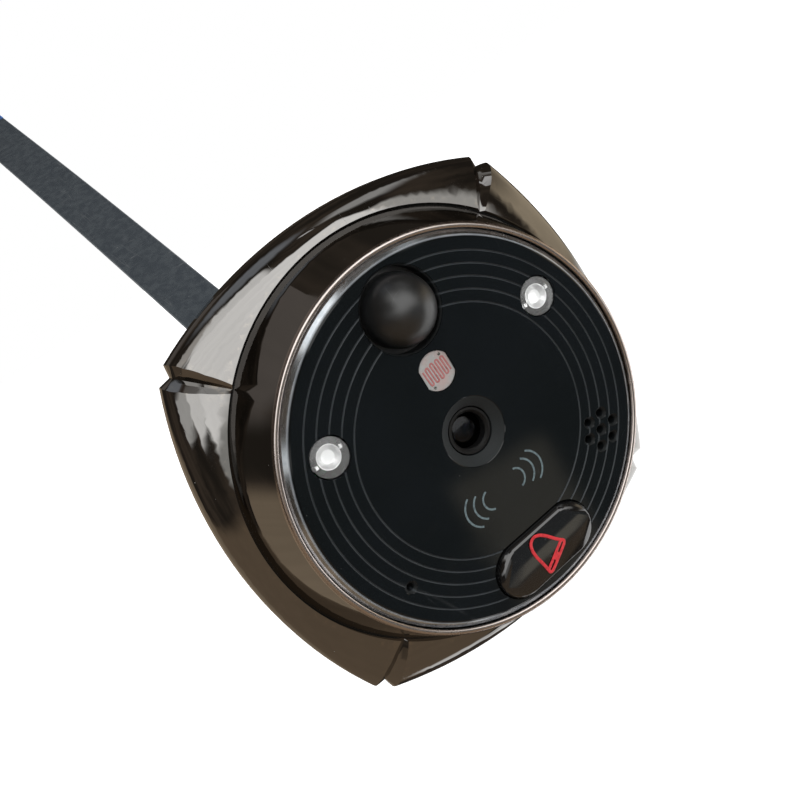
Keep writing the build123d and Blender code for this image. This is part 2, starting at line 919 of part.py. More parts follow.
def board_chips():
    """Main, memory and power chips on the rear of the board."""
    low = board_back - chip_thickness
    return [
        block(main_chip_side, main_chip_side, low, board_back, main_chip_place),
        block(memory_chip_width, memory_chip_depth, low, board_back, memory_chip_place),
        block(power_chip_side, power_chip_side, low, board_back, power_chip_place),
    ]


def board_screws():
    """Two pan-head screws from behind into the posts."""
    screws = []
    for angle in (0, 180):
        place = polar(pillar_ring_radius, angle)
        head = disc(pan_head_radius, board_back - pan_head_height, board_back, place)
        low_edge = head.edges().filter_by(GeomType.CIRCLE).sort_by(Axis.Z)[0]
        head = fillet(low_edge, pan_head_round)
        screws.append(head + disc(pilot_radius, board_back, board_back + board_screw_length, place))
    return screws


def ribbon_connector():
    """Low connector on the rear of the board, open on its upper side for the ribbon."""
    low = board_back - connector_height
    mouth = -ribbon_start_drop + connector_mouth_depth
    place = (0, mouth - connector_depth / 2)
    body = block(connector_length, connector_depth, low, board_back, place)
    slot_width = ribbon_width + free_gap
    half_slot = connector_mouth_height / 2
    slot_place = (0, mouth - connector_mouth_depth / 2 + overrun / 2)
    return body - block(
        slot_width, connector_mouth_depth + overrun,
        ribbon_inner_level - half_slot, ribbon_inner_level + half_slot, slot_place,
    )


def ribbon_band(path, thickness):
    """Flat band along a path whose points are height and level."""
    return Plane.YZ * extrude(trace(path, line_width=thickness), amount=ribbon_width / 2, both=True)


def ribbon_inner():
    """Ribbon from its connector, round one bend and down the barrel to its mouth."""
    start = (-ribbon_start_drop, ribbon_inner_level)
    corner = (0, ribbon_inner_level)
    mouth = (0, -barrel_length)
    path = FilletPolyline([start, corner, mouth], radius=ribbon_bend_radius)
    return ribbon_band(path, ribbon_thickness)


def route_points():
    """Route of the free ribbon as height and level."""
    return [(height, -distance) for distance, height in ribbon_route]


def route_radii():
    """Bend radius at each inner point of the ribbon's route."""
    points = [Vector(*point) for point in route_points()]
    radii = []
    for before, here, after in zip(points, points[1:], points[2:]):
        first = here - before
        second = after - here
        half_turn = radians(first.get_angle(second)) / 2
        radii.append(bend_share * min(first.length, second.length) / tan(half_turn))
    return radii


def ribbon_cable():
    """Free ribbon behind the unit, straight runs joined by wide bends."""
    radii = route_radii()
    print("ribbon bend radii:", [round(radius, 1) for radius in radii])
    path = FilletPolyline(route_points(), radius=radii)
    band = ribbon_band(path, ribbon_thickness)
    length = sum(edge.length for edge in path.edges())
    expected = length * ribbon_width * ribbon_thickness
    print("ribbon length:", round(length, 2), "volume share:", round(band.volume / expected, 4))
    return band


def ribbon_contact_end():
    """Stiffened contact end in line with the ribbon's last run."""
    before, last = [Vector(*point) for point in route_points()[-2:]]
    end = last + (last - before).normalized() * contact_end_length
    return ribbon_band(Line(last, end), contact_end_thickness)


def countersink(place, head_radius, head_depth, shank_radius, face):
    """Countersunk hole drilled from behind."""
    hole = taper(head_radius, shank_radius, face, face + head_depth, place)
    return hole + disc(shank_radius, face, ledge_level + overrun, place)


def collar_screw_places():
    """Three screws round the barrel's collar."""
    return [
        polar(collar_screw_ring_radius, 90 + index * 360 / collar_screw_count)
        for index in range(collar_screw_count)
    ]


def rear_cover():
    """Round cover with the barrel's hole, screw holes and a groove for the seal."""
    cover = disc(cover_radius, rim_level, ledge_level)
    low = rim_level - overrun
    high = ledge_level + overrun
    cover -= disc(barrel_outer_radius, low, high)
    half = seal_section / 2
    cover -= tube(seal_radius + half, seal_radius - half, ledge_level - seal_section, high)
    for angle in pillar_angles():
        place = polar(pillar_ring_radius, angle)
        cover -= countersink(place, screw_head_radius, screw_head_depth, screw_clearance_radius, rim_level)
    for place in collar_screw_places():
        cover -= disc(collar_shank_radius, low, rim_level + collar_screw_length, place)
    return cover


def cover_seal():
    """Round rubber ring in the cover's groove, against the housing's ledge."""
    half = seal_section / 2
    return Pos(0, 0, ledge_level - half) * Torus(seal_radius, half)


def countersunk_screw(place, head_radius, head_depth, shank_radius, face, length):
    """Countersunk screw that enters from behind."""
    head = taper(head_radius, shank_radius, face, face + head_depth, place)
    return head + disc(shank_radius, face + head_depth, face + length, place)


def cover_screws():
    """Four countersunk screws through the cover into the long pillars."""
    screws = []
    for angle in pillar_angles():
        place = polar(pillar_ring_radius, angle)
        screws.append(countersunk_screw(
            place, screw_head_radius, screw_head_depth, pilot_radius, rim_level, cover_screw_length,
        ))
    return screws


def threaded_barrel():
    """Hollow barrel through the door with a collar screwed to the rear cover."""
    mouth = -barrel_length
    body = disc(barrel_outer_radius, mouth + barrel_bevel, ledge_level)
    body += taper(barrel_outer_radius - barrel_bevel, barrel_outer_radius, mouth, mouth + barrel_bevel)
    body += disc(collar_radius, 0, rim_level)
    body -= disc(barrel_bore_radius, mouth - overrun, ledge_level + overrun)
    for place in collar_screw_places():
        body -= taper(collar_head_radius, collar_shank_radius, 0, collar_head_depth, place)
        body -= disc(collar_shank_radius, 0, rim_level + overrun, place)
    return body


def barrel_screws():
    """Three short screws that hold the barrel's collar to the cover."""
    return [
        countersunk_screw(
            place, collar_head_radius, collar_head_depth, collar_shank_radius,
            0, rim_level + collar_screw_length,
        )
        for place in collar_screw_places()
    ]


def door_pad():
    """Foam pad with the flange's outline, clipped inside the notches."""
    half = flange_half_width - pad_inset
    outline = bulged_square(half, diagonal_radius(half), 0)
    pad = extrude(outline, amount=pad_thickness)
    corner = diagonal_radius(flange_half_width) - pad_corner_inset
    pad &= disc(corner, 0, pad_thickness)
    return pad - disc(collar_radius + collar_gap, -overrun, pad_thickness + overrun)


def place_on_door(shape):
    """Turn a piece from the drawing frame to the door's frame."""
    return Rot(90, 0, 0) * shape


nodes = {
    "housing": housing,
    "face_plate": face_plate,
    "plate_adhesive": plate_glue,
    "pir_dome": pir_dome,
    "pir_holder": pir_holder,
    "pir_sensor": pir_sensor,
    "led_bodies": leds,
    "led_lead_frames": led_lead_frames,
    "photocell": photocell,
    "photocell_spacer": photocell_spacer,
    "lens_barrel": lens_barrel,
    "lens_front_element": lens_front,
    "lens_rear_element": lens_rear,
    "lens_holder": lens_holder,
    "ir_filter": ir_filter,
    "image_sensor": image_sensor,
    "speaker": speaker,
    "speaker_diaphragm": speaker_diaphragm,
    "speaker_boot": speaker_boot,
    "microphone": microphone,
    "microphone_boot": microphone_boot,
    "bell_button": bell_button,
    "switch_body": switch_body,
    "switch_plunger": switch_plunger,
    "switch_dome": switch_dome,
    "main_board": main_board,
    "board_chips": board_chips,
    "board_screws": board_screws,
    "ribbon_connector": ribbon_connector,
    "ribbon_inner": ribbon_inner,
    "ribbon_cable": ribbon_cable,
    "ribbon_contact_end": ribbon_contact_end,
    "rear_cover": rear_cover,
    "cover_seal": cover_seal,
    "cover_screws": cover_screws,
    "threaded_barrel": threaded_barrel,
    "barrel_screws": barrel_screws,
    "door_pad": door_pad,
}

os.makedirs("parts", exist_ok=True)
for name, make in nodes.items():
    made = make()
    pieces = made if isinstance(made, list) else [made]
    placed = [place_on_door(piece) for piece in pieces]
    shape = Compound(children=placed) if len(placed) > 1 else placed[0]
    export_step(shape, "parts/" + name + ".step")
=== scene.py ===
import bpy
import json
from math import cos, hypot, pi, radians, sin
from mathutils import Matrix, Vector

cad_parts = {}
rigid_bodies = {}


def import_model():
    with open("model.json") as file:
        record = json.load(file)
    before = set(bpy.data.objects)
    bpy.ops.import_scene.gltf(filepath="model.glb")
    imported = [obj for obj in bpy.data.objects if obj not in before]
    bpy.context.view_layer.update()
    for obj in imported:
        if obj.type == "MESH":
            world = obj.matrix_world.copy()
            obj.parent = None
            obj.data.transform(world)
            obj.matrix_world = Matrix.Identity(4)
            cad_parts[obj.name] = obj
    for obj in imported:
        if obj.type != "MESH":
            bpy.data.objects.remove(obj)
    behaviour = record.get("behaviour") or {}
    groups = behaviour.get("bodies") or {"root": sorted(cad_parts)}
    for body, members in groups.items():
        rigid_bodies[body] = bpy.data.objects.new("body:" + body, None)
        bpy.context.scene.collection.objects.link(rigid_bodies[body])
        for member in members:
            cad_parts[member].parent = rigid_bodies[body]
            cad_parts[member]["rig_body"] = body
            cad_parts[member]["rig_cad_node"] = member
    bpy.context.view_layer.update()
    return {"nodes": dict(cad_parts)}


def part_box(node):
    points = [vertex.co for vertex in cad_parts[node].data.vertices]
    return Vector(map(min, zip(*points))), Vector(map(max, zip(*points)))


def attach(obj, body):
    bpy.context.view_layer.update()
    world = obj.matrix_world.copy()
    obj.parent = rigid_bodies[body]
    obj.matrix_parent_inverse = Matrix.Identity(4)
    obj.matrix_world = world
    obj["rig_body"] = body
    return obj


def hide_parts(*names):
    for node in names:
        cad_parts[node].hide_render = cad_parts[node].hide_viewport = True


# Peephole door camera: finishes, fine detail, light and camera. Metres, in the CAD's frame:
# the face looks along -Y, +Z is up, the barrel and the ribbon run towards +Y.

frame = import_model()
nodes = frame["nodes"]

MM = 0.001

# Places read from the CAD nodes
plate_low, plate_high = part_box("face_plate")
FACE = plate_low.y
PLATE_RADIUS = plate_high.x
BUTTON_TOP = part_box("bell_button")[0].y
CELL_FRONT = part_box("photocell")[0].y
LAMP_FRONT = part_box("led_bodies")[0].y
BARREL_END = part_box("threaded_barrel")[1].y
LIP_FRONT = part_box("housing")[0].y


# Camera.
CAMERA_PLACE = (-40.14 * MM, -113.39 * MM, 42.79 * MM)
CAMERA_TURN = (69.363, 30.249, -29.7)
CAMERA_LENS = 41.1
CAMERA_NEAR = 0.005


def add_camera():
    data = bpy.data.cameras.new("camera")
    data.lens = CAMERA_LENS
    data.clip_start = CAMERA_NEAR
    camera = bpy.data.objects.new("camera", data)
    bpy.context.scene.collection.objects.link(camera)
    camera.location = CAMERA_PLACE
    camera.rotation_euler = [radians(turn) for turn in CAMERA_TURN]
    bpy.context.scene.camera = camera


add_camera()


# Free ribbon.

# The same points as ribbon_route in the part's source: distance into the door and height
RIBBON_ROUTE = [
    (0.0260, 0.0), (0.0352, 0.0), (0.0447, 0.00137), (0.0539, 0.00408), (0.0626, 0.0081),
    (0.0790, 0.01875), (0.1070, 0.0360), (0.1400, 0.0559), (0.1740, 0.0756), (0.1970, 0.0886),
]
RIBBON_WIDTH = 11.5 * MM
RIBBON_THICKNESS = 0.3 * MM


def add_ribbon():
    curve = bpy.data.curves.new("ribbon_band", "CURVE")
    curve.dimensions = "3D"
    curve.resolution_u = 24
    curve.twist_mode = "Z_UP"
    curve.extrude = RIBBON_WIDTH / 2 - RIBBON_THICKNESS / 2
    curve.bevel_depth = RIBBON_THICKNESS / 2
    curve.bevel_resolution = 3
    curve.use_fill_caps = True
    curve.materials.append(bpy.data.materials.new("ribbon_slate_jacket"))
    spline = curve.splines.new("NURBS")
    spline.points.add(len(RIBBON_ROUTE) - 1)
    for point, (distance, height) in zip(spline.points, RIBBON_ROUTE):
        point.co = (0, distance, height, 1)
        point.tilt = pi / 2
    spline.order_u = 3
    spline.use_endpoint_u = True
    ribbon = bpy.data.objects.new("ribbon_band", curve)
    bpy.context.scene.collection.objects.link(ribbon)
    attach(ribbon, "unit")
    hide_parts("ribbon_cable")
    return ribbon


ribbon = add_ribbon()


# Node helpers.
def put(tree, kind, feeds=None, **settings):
    """Adds one node; a feed is a number, a colour or another node's output."""
    new = tree.nodes.new("ShaderNode" + kind)
    for name, value in settings.items():
        setattr(new, name, value)
    for key, value in (feeds or {}).items():
        if isinstance(value, bpy.types.NodeSocket):
            tree.links.new(value, new.inputs[key])
        else:
            new.inputs[key].default_value = value
    return new


def calc(tree, operation, *values):
    """One step of arithmetic on numbers or outputs."""
    return put(tree, "Math", dict(enumerate(values)), operation=operation).outputs[0]


def times(tree, first, second):
    return calc(tree, "MULTIPLY", first, second)


def part_of(tree, where, letter):
    """One coordinate of a place."""
    return put(tree, "SeparateXYZ", {0: where}).outputs[letter]


def feed(tree, surface, label, output):
    tree.links.new(output, surface.inputs[label])


def fit(tree, value, low, high, to_low=0.0, to_high=1.0):
    """A smooth change from to_low to to_high while the value goes from low to high."""
    feeds = {"Value": value, "From Min": low, "From Max": high, "To Min": to_low, "To Max": to_high}
    return put(tree, "MapRange", feeds, interpolation_type="SMOOTHSTEP").outputs["Result"]


def tint(tree, mask, under, over):
    """The colour under where the mask is 0, and the colour over where it is 1."""
    return put(tree, "Mix", {0: mask, 6: under, 7: over}, data_type="RGBA").outputs[2]


def noise(tree, where, scale, detail=3.0, rough=0.55, warp=0.0):
    feeds = {"Vector": where, "Scale": scale, "Detail": detail, "Roughness": rough, "Distortion": warp}
    return put(tree, "TexNoise", feeds).outputs["Fac"]


def cell_distance(tree, where, scale, **settings):
    """Distance to the nearest of many scattered points."""
    return put(tree, "TexVoronoi", {"Vector": where, "Scale": scale}, **settings).outputs["Distance"]


def here(tree):
    return put(tree, "TexCoord").outputs["Object"]


def stretched(tree, where, sizes, turn=(0, 0, 0), shift=(0, 0, 0)):
    feeds = {"Vector": where, "Location": shift, "Rotation": turn, "Scale": sizes}
    return put(tree, "Mapping", feeds).outputs[0]


def shade(value):
    """A grey or a colour from 0-255 picture values."""
    values = (value,) * 3 if isinstance(value, (int, float)) else value
    linear = [v / 255 / 12.92 if v < 10 else ((v / 255 + 0.055) / 1.055) ** 2.4 for v in values]
    return (*linear, 1)


# Shared surface groups.
def begin_group(name, numbers, outputs):
    group = bpy.data.node_groups.new(name, "ShaderNodeTree")
    for label, value in numbers.items():
        socket = group.interface.new_socket(label, in_out="INPUT", socket_type="NodeSocketFloat")
        socket.default_value = value
    for label in outputs:
        group.interface.new_socket(label, in_out="OUTPUT", socket_type="NodeSocketFloat")
    return group, group.nodes.new("NodeGroupInput").outputs, group.nodes.new("NodeGroupOutput").inputs


def make_moulding_grain():
    """Fine pebbled grain and a slow mottle."""
    tree, given, out = begin_group("moulding_grain", {"Grain Size": 0.3}, ["Height", "Mottle"])
    fine = calc(tree, "DIVIDE", 1000.0, given["Grain Size"])
    wide = times(tree, fine, 0.045)
    where = here(tree)
    pebbles = cell_distance(tree, where, fine, feature="SMOOTH_F1")
    grain = noise(tree, where, fine, 4.0, 0.6)
    tree.links.new(calc(tree, "MULTIPLY_ADD", pebbles, 0.5, grain), out["Height"])
    tree.links.new(fit(tree, noise(tree, where, wide, 3.0, 0.5, 0.4), 0.35, 0.68), out["Mottle"])
    return tree


def make_handling_marks():
    """Finger smudges, and hairline scratches in two directions."""
    numbers = {"Smudge Size": 9.0, "Scratch Spacing": 2.0, "Scratch Width": 0.01}
    tree, given, out = begin_group("handling_marks", numbers, ["Smudge", "Scratches", "Haze"])
    where = here(tree)
    wide = calc(tree, "DIVIDE", 1000.0, given["Smudge Size"])
    blots = noise(tree, where, wide, 5.0, 0.55, 1.2)
    tree.links.new(fit(tree, blots, 0.48, 0.72), out["Smudge"])
    tree.links.new(fit(tree, noise(tree, where, wide, 2.0, 0.4), 0.3, 0.7), out["Haze"])
    across = calc(tree, "DIVIDE", 1000.0, given["Scratch Spacing"])
    lines = []
    for turn, sizes in (((0.3, 0.5, 0.9), (1, 0.035, 0.05)), ((1.1, 0.2, 2.2), (0.05, 1, 0.03))):
        run = noise(tree, stretched(tree, where, sizes, turn), across, 1.0, 0.5)
        off = calc(tree, "ABSOLUTE", calc(tree, "SUBTRACT", run, 0.5))
        lines.append(fit(tree, off, 0.0, given["Scratch Width"], 1.0, 0.0))
    faded = fit(tree, noise(tree, where, times(tree, wide, 2.0), 2.0), 0.5, 0.62)
    both = calc(tree, "MAXIMUM", *lines)
    tree.links.new(times(tree, both, faded), out["Scratches"])
    return tree


def make_settled_dust():
    """Small scattered specks of dust and lint."""
    numbers = {"Speck Spacing": 1.6, "Speck Size": 0.07}
    tree, given, out = begin_group("settled_dust", numbers, ["Specks"])
    where = here(tree)
    scale = calc(tree, "DIVIDE", 1000.0, given["Speck Spacing"])
    cells = put(tree, "TexVoronoi", {"Vector": where, "Scale": scale}, feature="F1")
    size = times(tree, put(tree, "SeparateColor", {0: cells.outputs["Color"]}).outputs[0],
                given["Speck Size"])
    spot = calc(tree, "LESS_THAN", cells.outputs["Distance"], size)
    where_it_lies = fit(tree, noise(tree, where, 90.0, 2.0), 0.42, 0.6)
    tree.links.new(times(tree, spot, where_it_lies), out["Specks"])
    return tree


def make_worn_edges():
    """Where a shape's outer edges stick out, broken up by grain."""
    tree, given, out = begin_group("worn_edges", {"Reach": 0.06, "Break Up": 1.2}, ["Wear"])
    point = put(tree, "NewGeometry").outputs["Pointiness"]
    edge = fit(tree, point, 0.51, calc(tree, "ADD", 0.51, given["Reach"]))
    chips = noise(tree, here(tree), calc(tree, "DIVIDE", 1000.0, given["Break Up"]), 4.0, 0.65)
    tree.links.new(times(tree, edge, fit(tree, chips, 0.45, 0.62)), out["Wear"])
    return tree


moulding_grain = make_moulding_grain()
handling_marks = make_handling_marks()
settled_dust = make_settled_dust()
worn_edges = make_worn_edges()


def grouped(tree, group, **numbers):
    node = tree.nodes.new("ShaderNodeGroup")
    node.node_tree = group
    for label, value in numbers.items():
        node.inputs[label.replace("_", " ")].default_value = value
    return node.outputs


# Finishes.
def start_finish(name, **sockets):
    material = bpy.data.materials.get(name) or bpy.data.materials.new(name)
    material.use_nodes = True
    tree = material.node_tree
    surface = tree.nodes["Principled BSDF"]
    for label, value in sockets.items():
        surface.inputs[label.replace("_", " ")].default_value = value
    return material, tree, surface


def set_bump(tree, surface, height, distance, strength=1.0):
    bump = put(tree, "Bump", {"Height": height, "Distance": distance, "Strength": strength})
    feed(tree, surface, "Normal", bump.outputs["Normal"])


def moulded(name, colour, lighter, rough=(0.45, 0.6), grain=0.3, depth=0.000012, dust=0.35, **sockets):
    """Moulded plastic or rubber: grain, a slow mottle, smudges, scratches and dust."""
    material, tree, surface = start_finish(name, **sockets)
    skin = grouped(tree, moulding_grain, Grain_Size=grain)
    marks = grouped(tree, handling_marks, Smudge_Size=7.0, Scratch_Spacing=3.0, Scratch_Width=0.006)
    specks = grouped(tree, settled_dust, Speck_Spacing=1.4, Speck_Size=0.08)["Specks"]
    body = tint(tree, skin["Mottle"], colour, lighter)
    scuffed = tint(tree, times(tree, marks["Scratches"], 0.25), body, shade(150))
    dusty = tint(tree, times(tree, specks, dust), scuffed, shade((150, 145, 138)))
    feed(tree, surface, "Base Color", dusty)
    feed(tree, surface, "Roughness", fit(tree, marks["Smudge"], 0.0, 1.0, rough[1], rough[0]))
    set_bump(tree, surface, calc(tree, "SUBTRACT", skin["Height"], marks["Scratches"]), depth)
    return material


def metal(name, colour, darker, rough=(0.22, 0.38), lines=(1, 1, 1), grain=0.25, depth=0.000004, **sockets):
    """Bare or plated metal with fine tool lines, tarnish and scratches."""
    material, tree, surface = start_finish(name, Metallic=1.0, **sockets)
    where = stretched(tree, here(tree), lines)
    tooled = noise(tree, where, 1000 / grain, 3.0, 0.6)
    skin = grouped(tree, moulding_grain, Grain_Size=grain * 3)
    marks = grouped(tree, handling_marks, Smudge_Size=5.0, Scratch_Spacing=1.6, Scratch_Width=0.008)
    tarnished = tint(tree, skin["Mottle"], colour, darker)
    tree.links.new(tint(tree, times(tree, marks["Scratches"], 0.4), tarnished, shade(235)),
                   surface.inputs["Base Color"])
    worn = calc(tree, "MAXIMUM", fit(tree, tooled, 0.35, 0.65), marks["Smudge"])
    feed(tree, surface, "Roughness", fit(tree, worn, 0.0, 1.0, rough[0], rough[1]))
    set_bump(tree, surface, calc(tree, "SUBTRACT", tooled, marks["Scratches"]), depth)
    return material


def distance_from_axis(tree):
    """Distance from the barrel's axis, in metres."""
    parts = put(tree, "SeparateXYZ", {0: here(tree)}).outputs
    side_squared = times(tree, parts["X"], parts["X"])
    rise_squared = times(tree, parts["Z"], parts["Z"])
    return calc(tree, "SQRT", calc(tree, "ADD", side_squared, rise_squared))


LIP_RADIUS = 26.1 * MM

# Crown that rounds the lip's flat rim, in the housing's bump
LIP_CROWN = LIP_RADIUS - 0.37 * MM
LIP_HALF = 0.42 * MM
LIP_ROUNDING = 24.0

# Where the lip's lighter base colour, partly brighter plating and partly a painted highlight, starts and
# stops: two fades by radius and one by depth
LIP_HIGHLIGHT_INSIDE = (LIP_RADIUS - 0.8 * MM, LIP_RADIUS - 0.7 * MM)
LIP_HIGHLIGHT_OUTSIDE = (LIP_RADIUS + 0.05 * MM, LIP_RADIUS + 0.15 * MM)
LIP_DEPTH_FADE = (LIP_FRONT + 0.3 * MM, LIP_FRONT + 0.5 * MM)


def dark_nickel():
    """The housing's polished dark nickel plating: mirror-like, with orange peel, smudges, and a lighter lip
    that is partly brighter plating and partly a painted highlight.
    """
    material, tree, surface = start_finish("dark_nickel_plating", Metallic=1.0)
    where = here(tree)
    marks = grouped(tree, handling_marks, Smudge_Size=11.0, Scratch_Spacing=2.4, Scratch_Width=0.004)
    specks = grouped(tree, settled_dust, Speck_Spacing=1.9, Speck_Size=0.05)["Specks"]
    wear = grouped(tree, worn_edges, Reach=0.05, Break_Up=0.8)["Wear"]
    cloud = fit(tree, noise(tree, where, 45.0, 3.0, 0.5), 0.3, 0.7)
    plating = tint(tree, cloud, shade((160, 158, 156)), shade((153, 151, 149)))
    worn = tint(tree, times(tree, wear, 0.5), plating, shade((190, 182, 172)))
    radius = distance_from_axis(tree)
    near_lip = fit(tree, radius, *LIP_HIGHLIGHT_INSIDE)
    inside_lip = fit(tree, radius, *LIP_HIGHLIGHT_OUTSIDE, 1.0, 0.0)
    along = part_of(tree, where, "Y")
    front = fit(tree, along, *LIP_DEPTH_FADE, 1.0, 0.0)
    lip = times(tree, times(tree, near_lip, inside_lip), front)
    # Lighter base colour on the lip: partly brighter plating at the rim, partly a painted highlight standing
    # in for its bright reflection
    lightened = tint(tree, lip, worn, shade((226, 214, 208)))
    dusty = tint(tree, times(tree, specks, 0.5), lightened, shade((120, 114, 106)))
    feed(tree, surface, "Base Color", dusty)
    feed(tree, surface, "Metallic", calc(tree, "SUBTRACT", 1.0, times(tree, specks, 0.6)))
    smeared = fit(tree, marks["Smudge"], 0.0, 1.0, 0.03, 0.09)
    spotted = calc(tree, "ADD", smeared, times(tree, specks, 0.35))
    rough = calc(tree, "ADD", spotted, times(tree, lip, 0.2))
    feed(tree, surface, "Roughness", rough)
    peel = times(tree, noise(tree, where, 260.0, 2.0, 0.4), 0.5)
    off_crown = calc(tree, "DIVIDE", calc(tree, "SUBTRACT", radius, LIP_CROWN), LIP_HALF)
    crown = calc(tree, "MAXIMUM", calc(tree, "SUBTRACT", 1.0, times(tree, off_crown, off_crown)), 0.0)
    rounded = calc(tree, "MULTIPLY_ADD", times(tree, crown, front), LIP_ROUNDING, peel)
    set_bump(tree, surface, calc(tree, "SUBTRACT", rounded, times(tree, marks["Scratches"], 0.15)), 0.000008)
    return material


LENS_SINK = 4.6 * MM
RING_FIRST = 16.26 * MM
RING_PITCH = 1.585 * MM
RING_COUNT = 5
RING_HALF = 0.15 * MM
BEVEL_START = PLATE_RADIUS - 1.06 * MM
BEVEL_FADE = (BEVEL_START + 0.1 * MM, BEVEL_START + 0.5 * MM)
HOLE_DEPTH_FADE = (FACE + 0.03 * MM, FACE + 0.1 * MM)
HOLE_RADIUS_FADE = (BEVEL_START - 0.4 * MM, BEVEL_START - 0.3 * MM)


def gloss_face():
    """Gloss black plate: grey engraved rings, a bright bevelled edge, smudges, hairlines and dust."""
    material, tree, surface = start_finish("gloss_black_face", IOR=1.5, Coat_IOR=1.5)
    where = here(tree)
    radius = distance_from_axis(tree)
    turn = calc(tree, "DIVIDE", calc(tree, "SUBTRACT", radius, RING_FIRST), RING_PITCH)
    nearest = calc(tree, "MINIMUM", calc(tree, "MAXIMUM", calc(tree, "ROUND", turn), 0.0), RING_COUNT - 1.0)
    away = times(tree, calc(tree, "ABSOLUTE", calc(tree, "SUBTRACT", turn, nearest)), RING_PITCH)
    ring = fit(tree, away, RING_HALF * 0.6, RING_HALF, 1.0, 0.0)
    bevel = fit(tree, radius, *BEVEL_FADE)
    marks = grouped(tree, handling_marks, Smudge_Size=13.0, Scratch_Spacing=4.0, Scratch_Width=0.003)
    specks = grouped(tree, settled_dust, Speck_Spacing=2.1, Speck_Size=0.045)["Specks"]
    cloud = fit(tree, noise(tree, where, 60.0, 3.0), 0.3, 0.7)
    ink = tint(tree, cloud, shade((8, 11, 12)), shade((11, 14, 16)))
    sink = fit(tree, radius, LENS_SINK - 0.25 * MM, LENS_SINK, 1.0, 0.0)
    black = tint(tree, sink, ink, shade((25, 28, 29)))
    scuffed = tint(tree, times(tree, marks["Scratches"], 0.04), black, shade(120))
    dusty = tint(tree, times(tree, specks, 0.3), scuffed, shade((140, 138, 134)))
    worn_ring = fit(tree, noise(tree, where, 350.0, 3.0), 0.25, 0.75, 0.65, 1.0)
    ringed = tint(tree, times(tree, ring, worn_ring), dusty, shade((42, 46, 49)))
    brushed = fit(tree, noise(tree, where, 500.0, 3.0), 0.35, 0.65)
    edge = tint(tree, brushed, shade((222, 227, 232)), shade((198, 205, 212)))
    feed(tree, surface, "Base Color", tint(tree, bevel, ringed, edge))
    feed(tree, surface, "Metallic", bevel)
    smeared = fit(tree, marks["Smudge"], 0.0, 1.0, 0.06, 0.14)
    dull = calc(tree, "MAXIMUM", times(tree, ring, 0.45), times(tree, sink, 0.5))
    depth = fit(tree, part_of(tree, where, "Y"), *HOLE_DEPTH_FADE)
    hole = times(tree, depth, fit(tree, radius, *HOLE_RADIUS_FADE, 1.0, 0.0))
    dull = calc(tree, "MAXIMUM", dull, times(tree, hole, 0.62))
    duller = calc(tree, "MAXIMUM", smeared, dull)
    feed(tree, surface, "Roughness", calc(tree, "MAXIMUM", duller, times(tree, bevel, 0.17)))
    flow = noise(tree, where, 140.0, 2.0, 0.4)
    ripple = calc(tree, "SUBTRACT", flow, times(tree, marks["Scratches"], 0.05))
    set_bump(tree, surface, ripple, 0.000006)
    return material


def gloss_moulded(name, colour, lighter, rough=(0.08, 0.2), wave=160.0, **sockets):
    """Polished dark moulding with flow ripples, haze, hairlines and dust."""
    material, tree, surface = start_finish(name, **{"IOR": 1.5, **sockets})
    where = here(tree)
    marks = grouped(tree, handling_marks, Smudge_Size=5.0, Scratch_Spacing=2.2, Scratch_Width=0.004)
    specks = grouped(tree, settled_dust, Speck_Spacing=1.5, Speck_Size=0.05)["Specks"]
    body = tint(tree, marks["Haze"], colour, lighter)
    scuffed = tint(tree, times(tree, marks["Scratches"], 0.15), body, shade(130))
    feed(tree, surface, "Base Color", tint(tree, times(tree, specks, 0.3), scuffed, shade(140)))
    feed(tree, surface, "Roughness", fit(tree, marks["Smudge"], 0.0, 1.0, rough[0], rough[1]))
    set_bump(tree, surface, noise(tree, where, wave, 2.0, 0.4), 0.000006)
    return material


def clear(name, colour, rough=(0.02, 0.07), wave=500.0, depth=0.000003, **sockets):
    """Clear epoxy or glass: faint swirls, smears and specks on a see-through body."""
    material, tree, surface = start_finish(name, **{"Transmission_Weight": 1.0, **sockets})
    marks = grouped(tree, handling_marks, Smudge_Size=2.5, Scratch_Spacing=1.2, Scratch_Width=0.006)
    specks = grouped(tree, settled_dust, Speck_Spacing=1.1, Speck_Size=0.06)["Specks"]
    body = tint(tree, marks["Haze"], colour, tuple(v * 0.95 for v in colour[:3]) + (1,))
    feed(tree, surface, "Base Color", tint(tree, times(tree, specks, 0.3), body, shade(170)))
    smeared = fit(tree, marks["Smudge"], 0.0, 1.0, rough[0], rough[1])
    feed(tree, surface, "Roughness", calc(tree, "ADD", smeared, times(tree, specks, 0.2)))
    set_bump(tree, surface, noise(tree, here(tree), wave, 2.0), depth)
    return material


CONDUCTOR_PITCH = 0.5 * MM

# Fades across the ribbon, as distances from its middle line
RIDGES_END = (5.0 * MM, 5.1 * MM)
MARGIN_START = (5.35 * MM, 5.7 * MM)
CONTACTS_END = (5.2 * MM, 5.25 * MM)


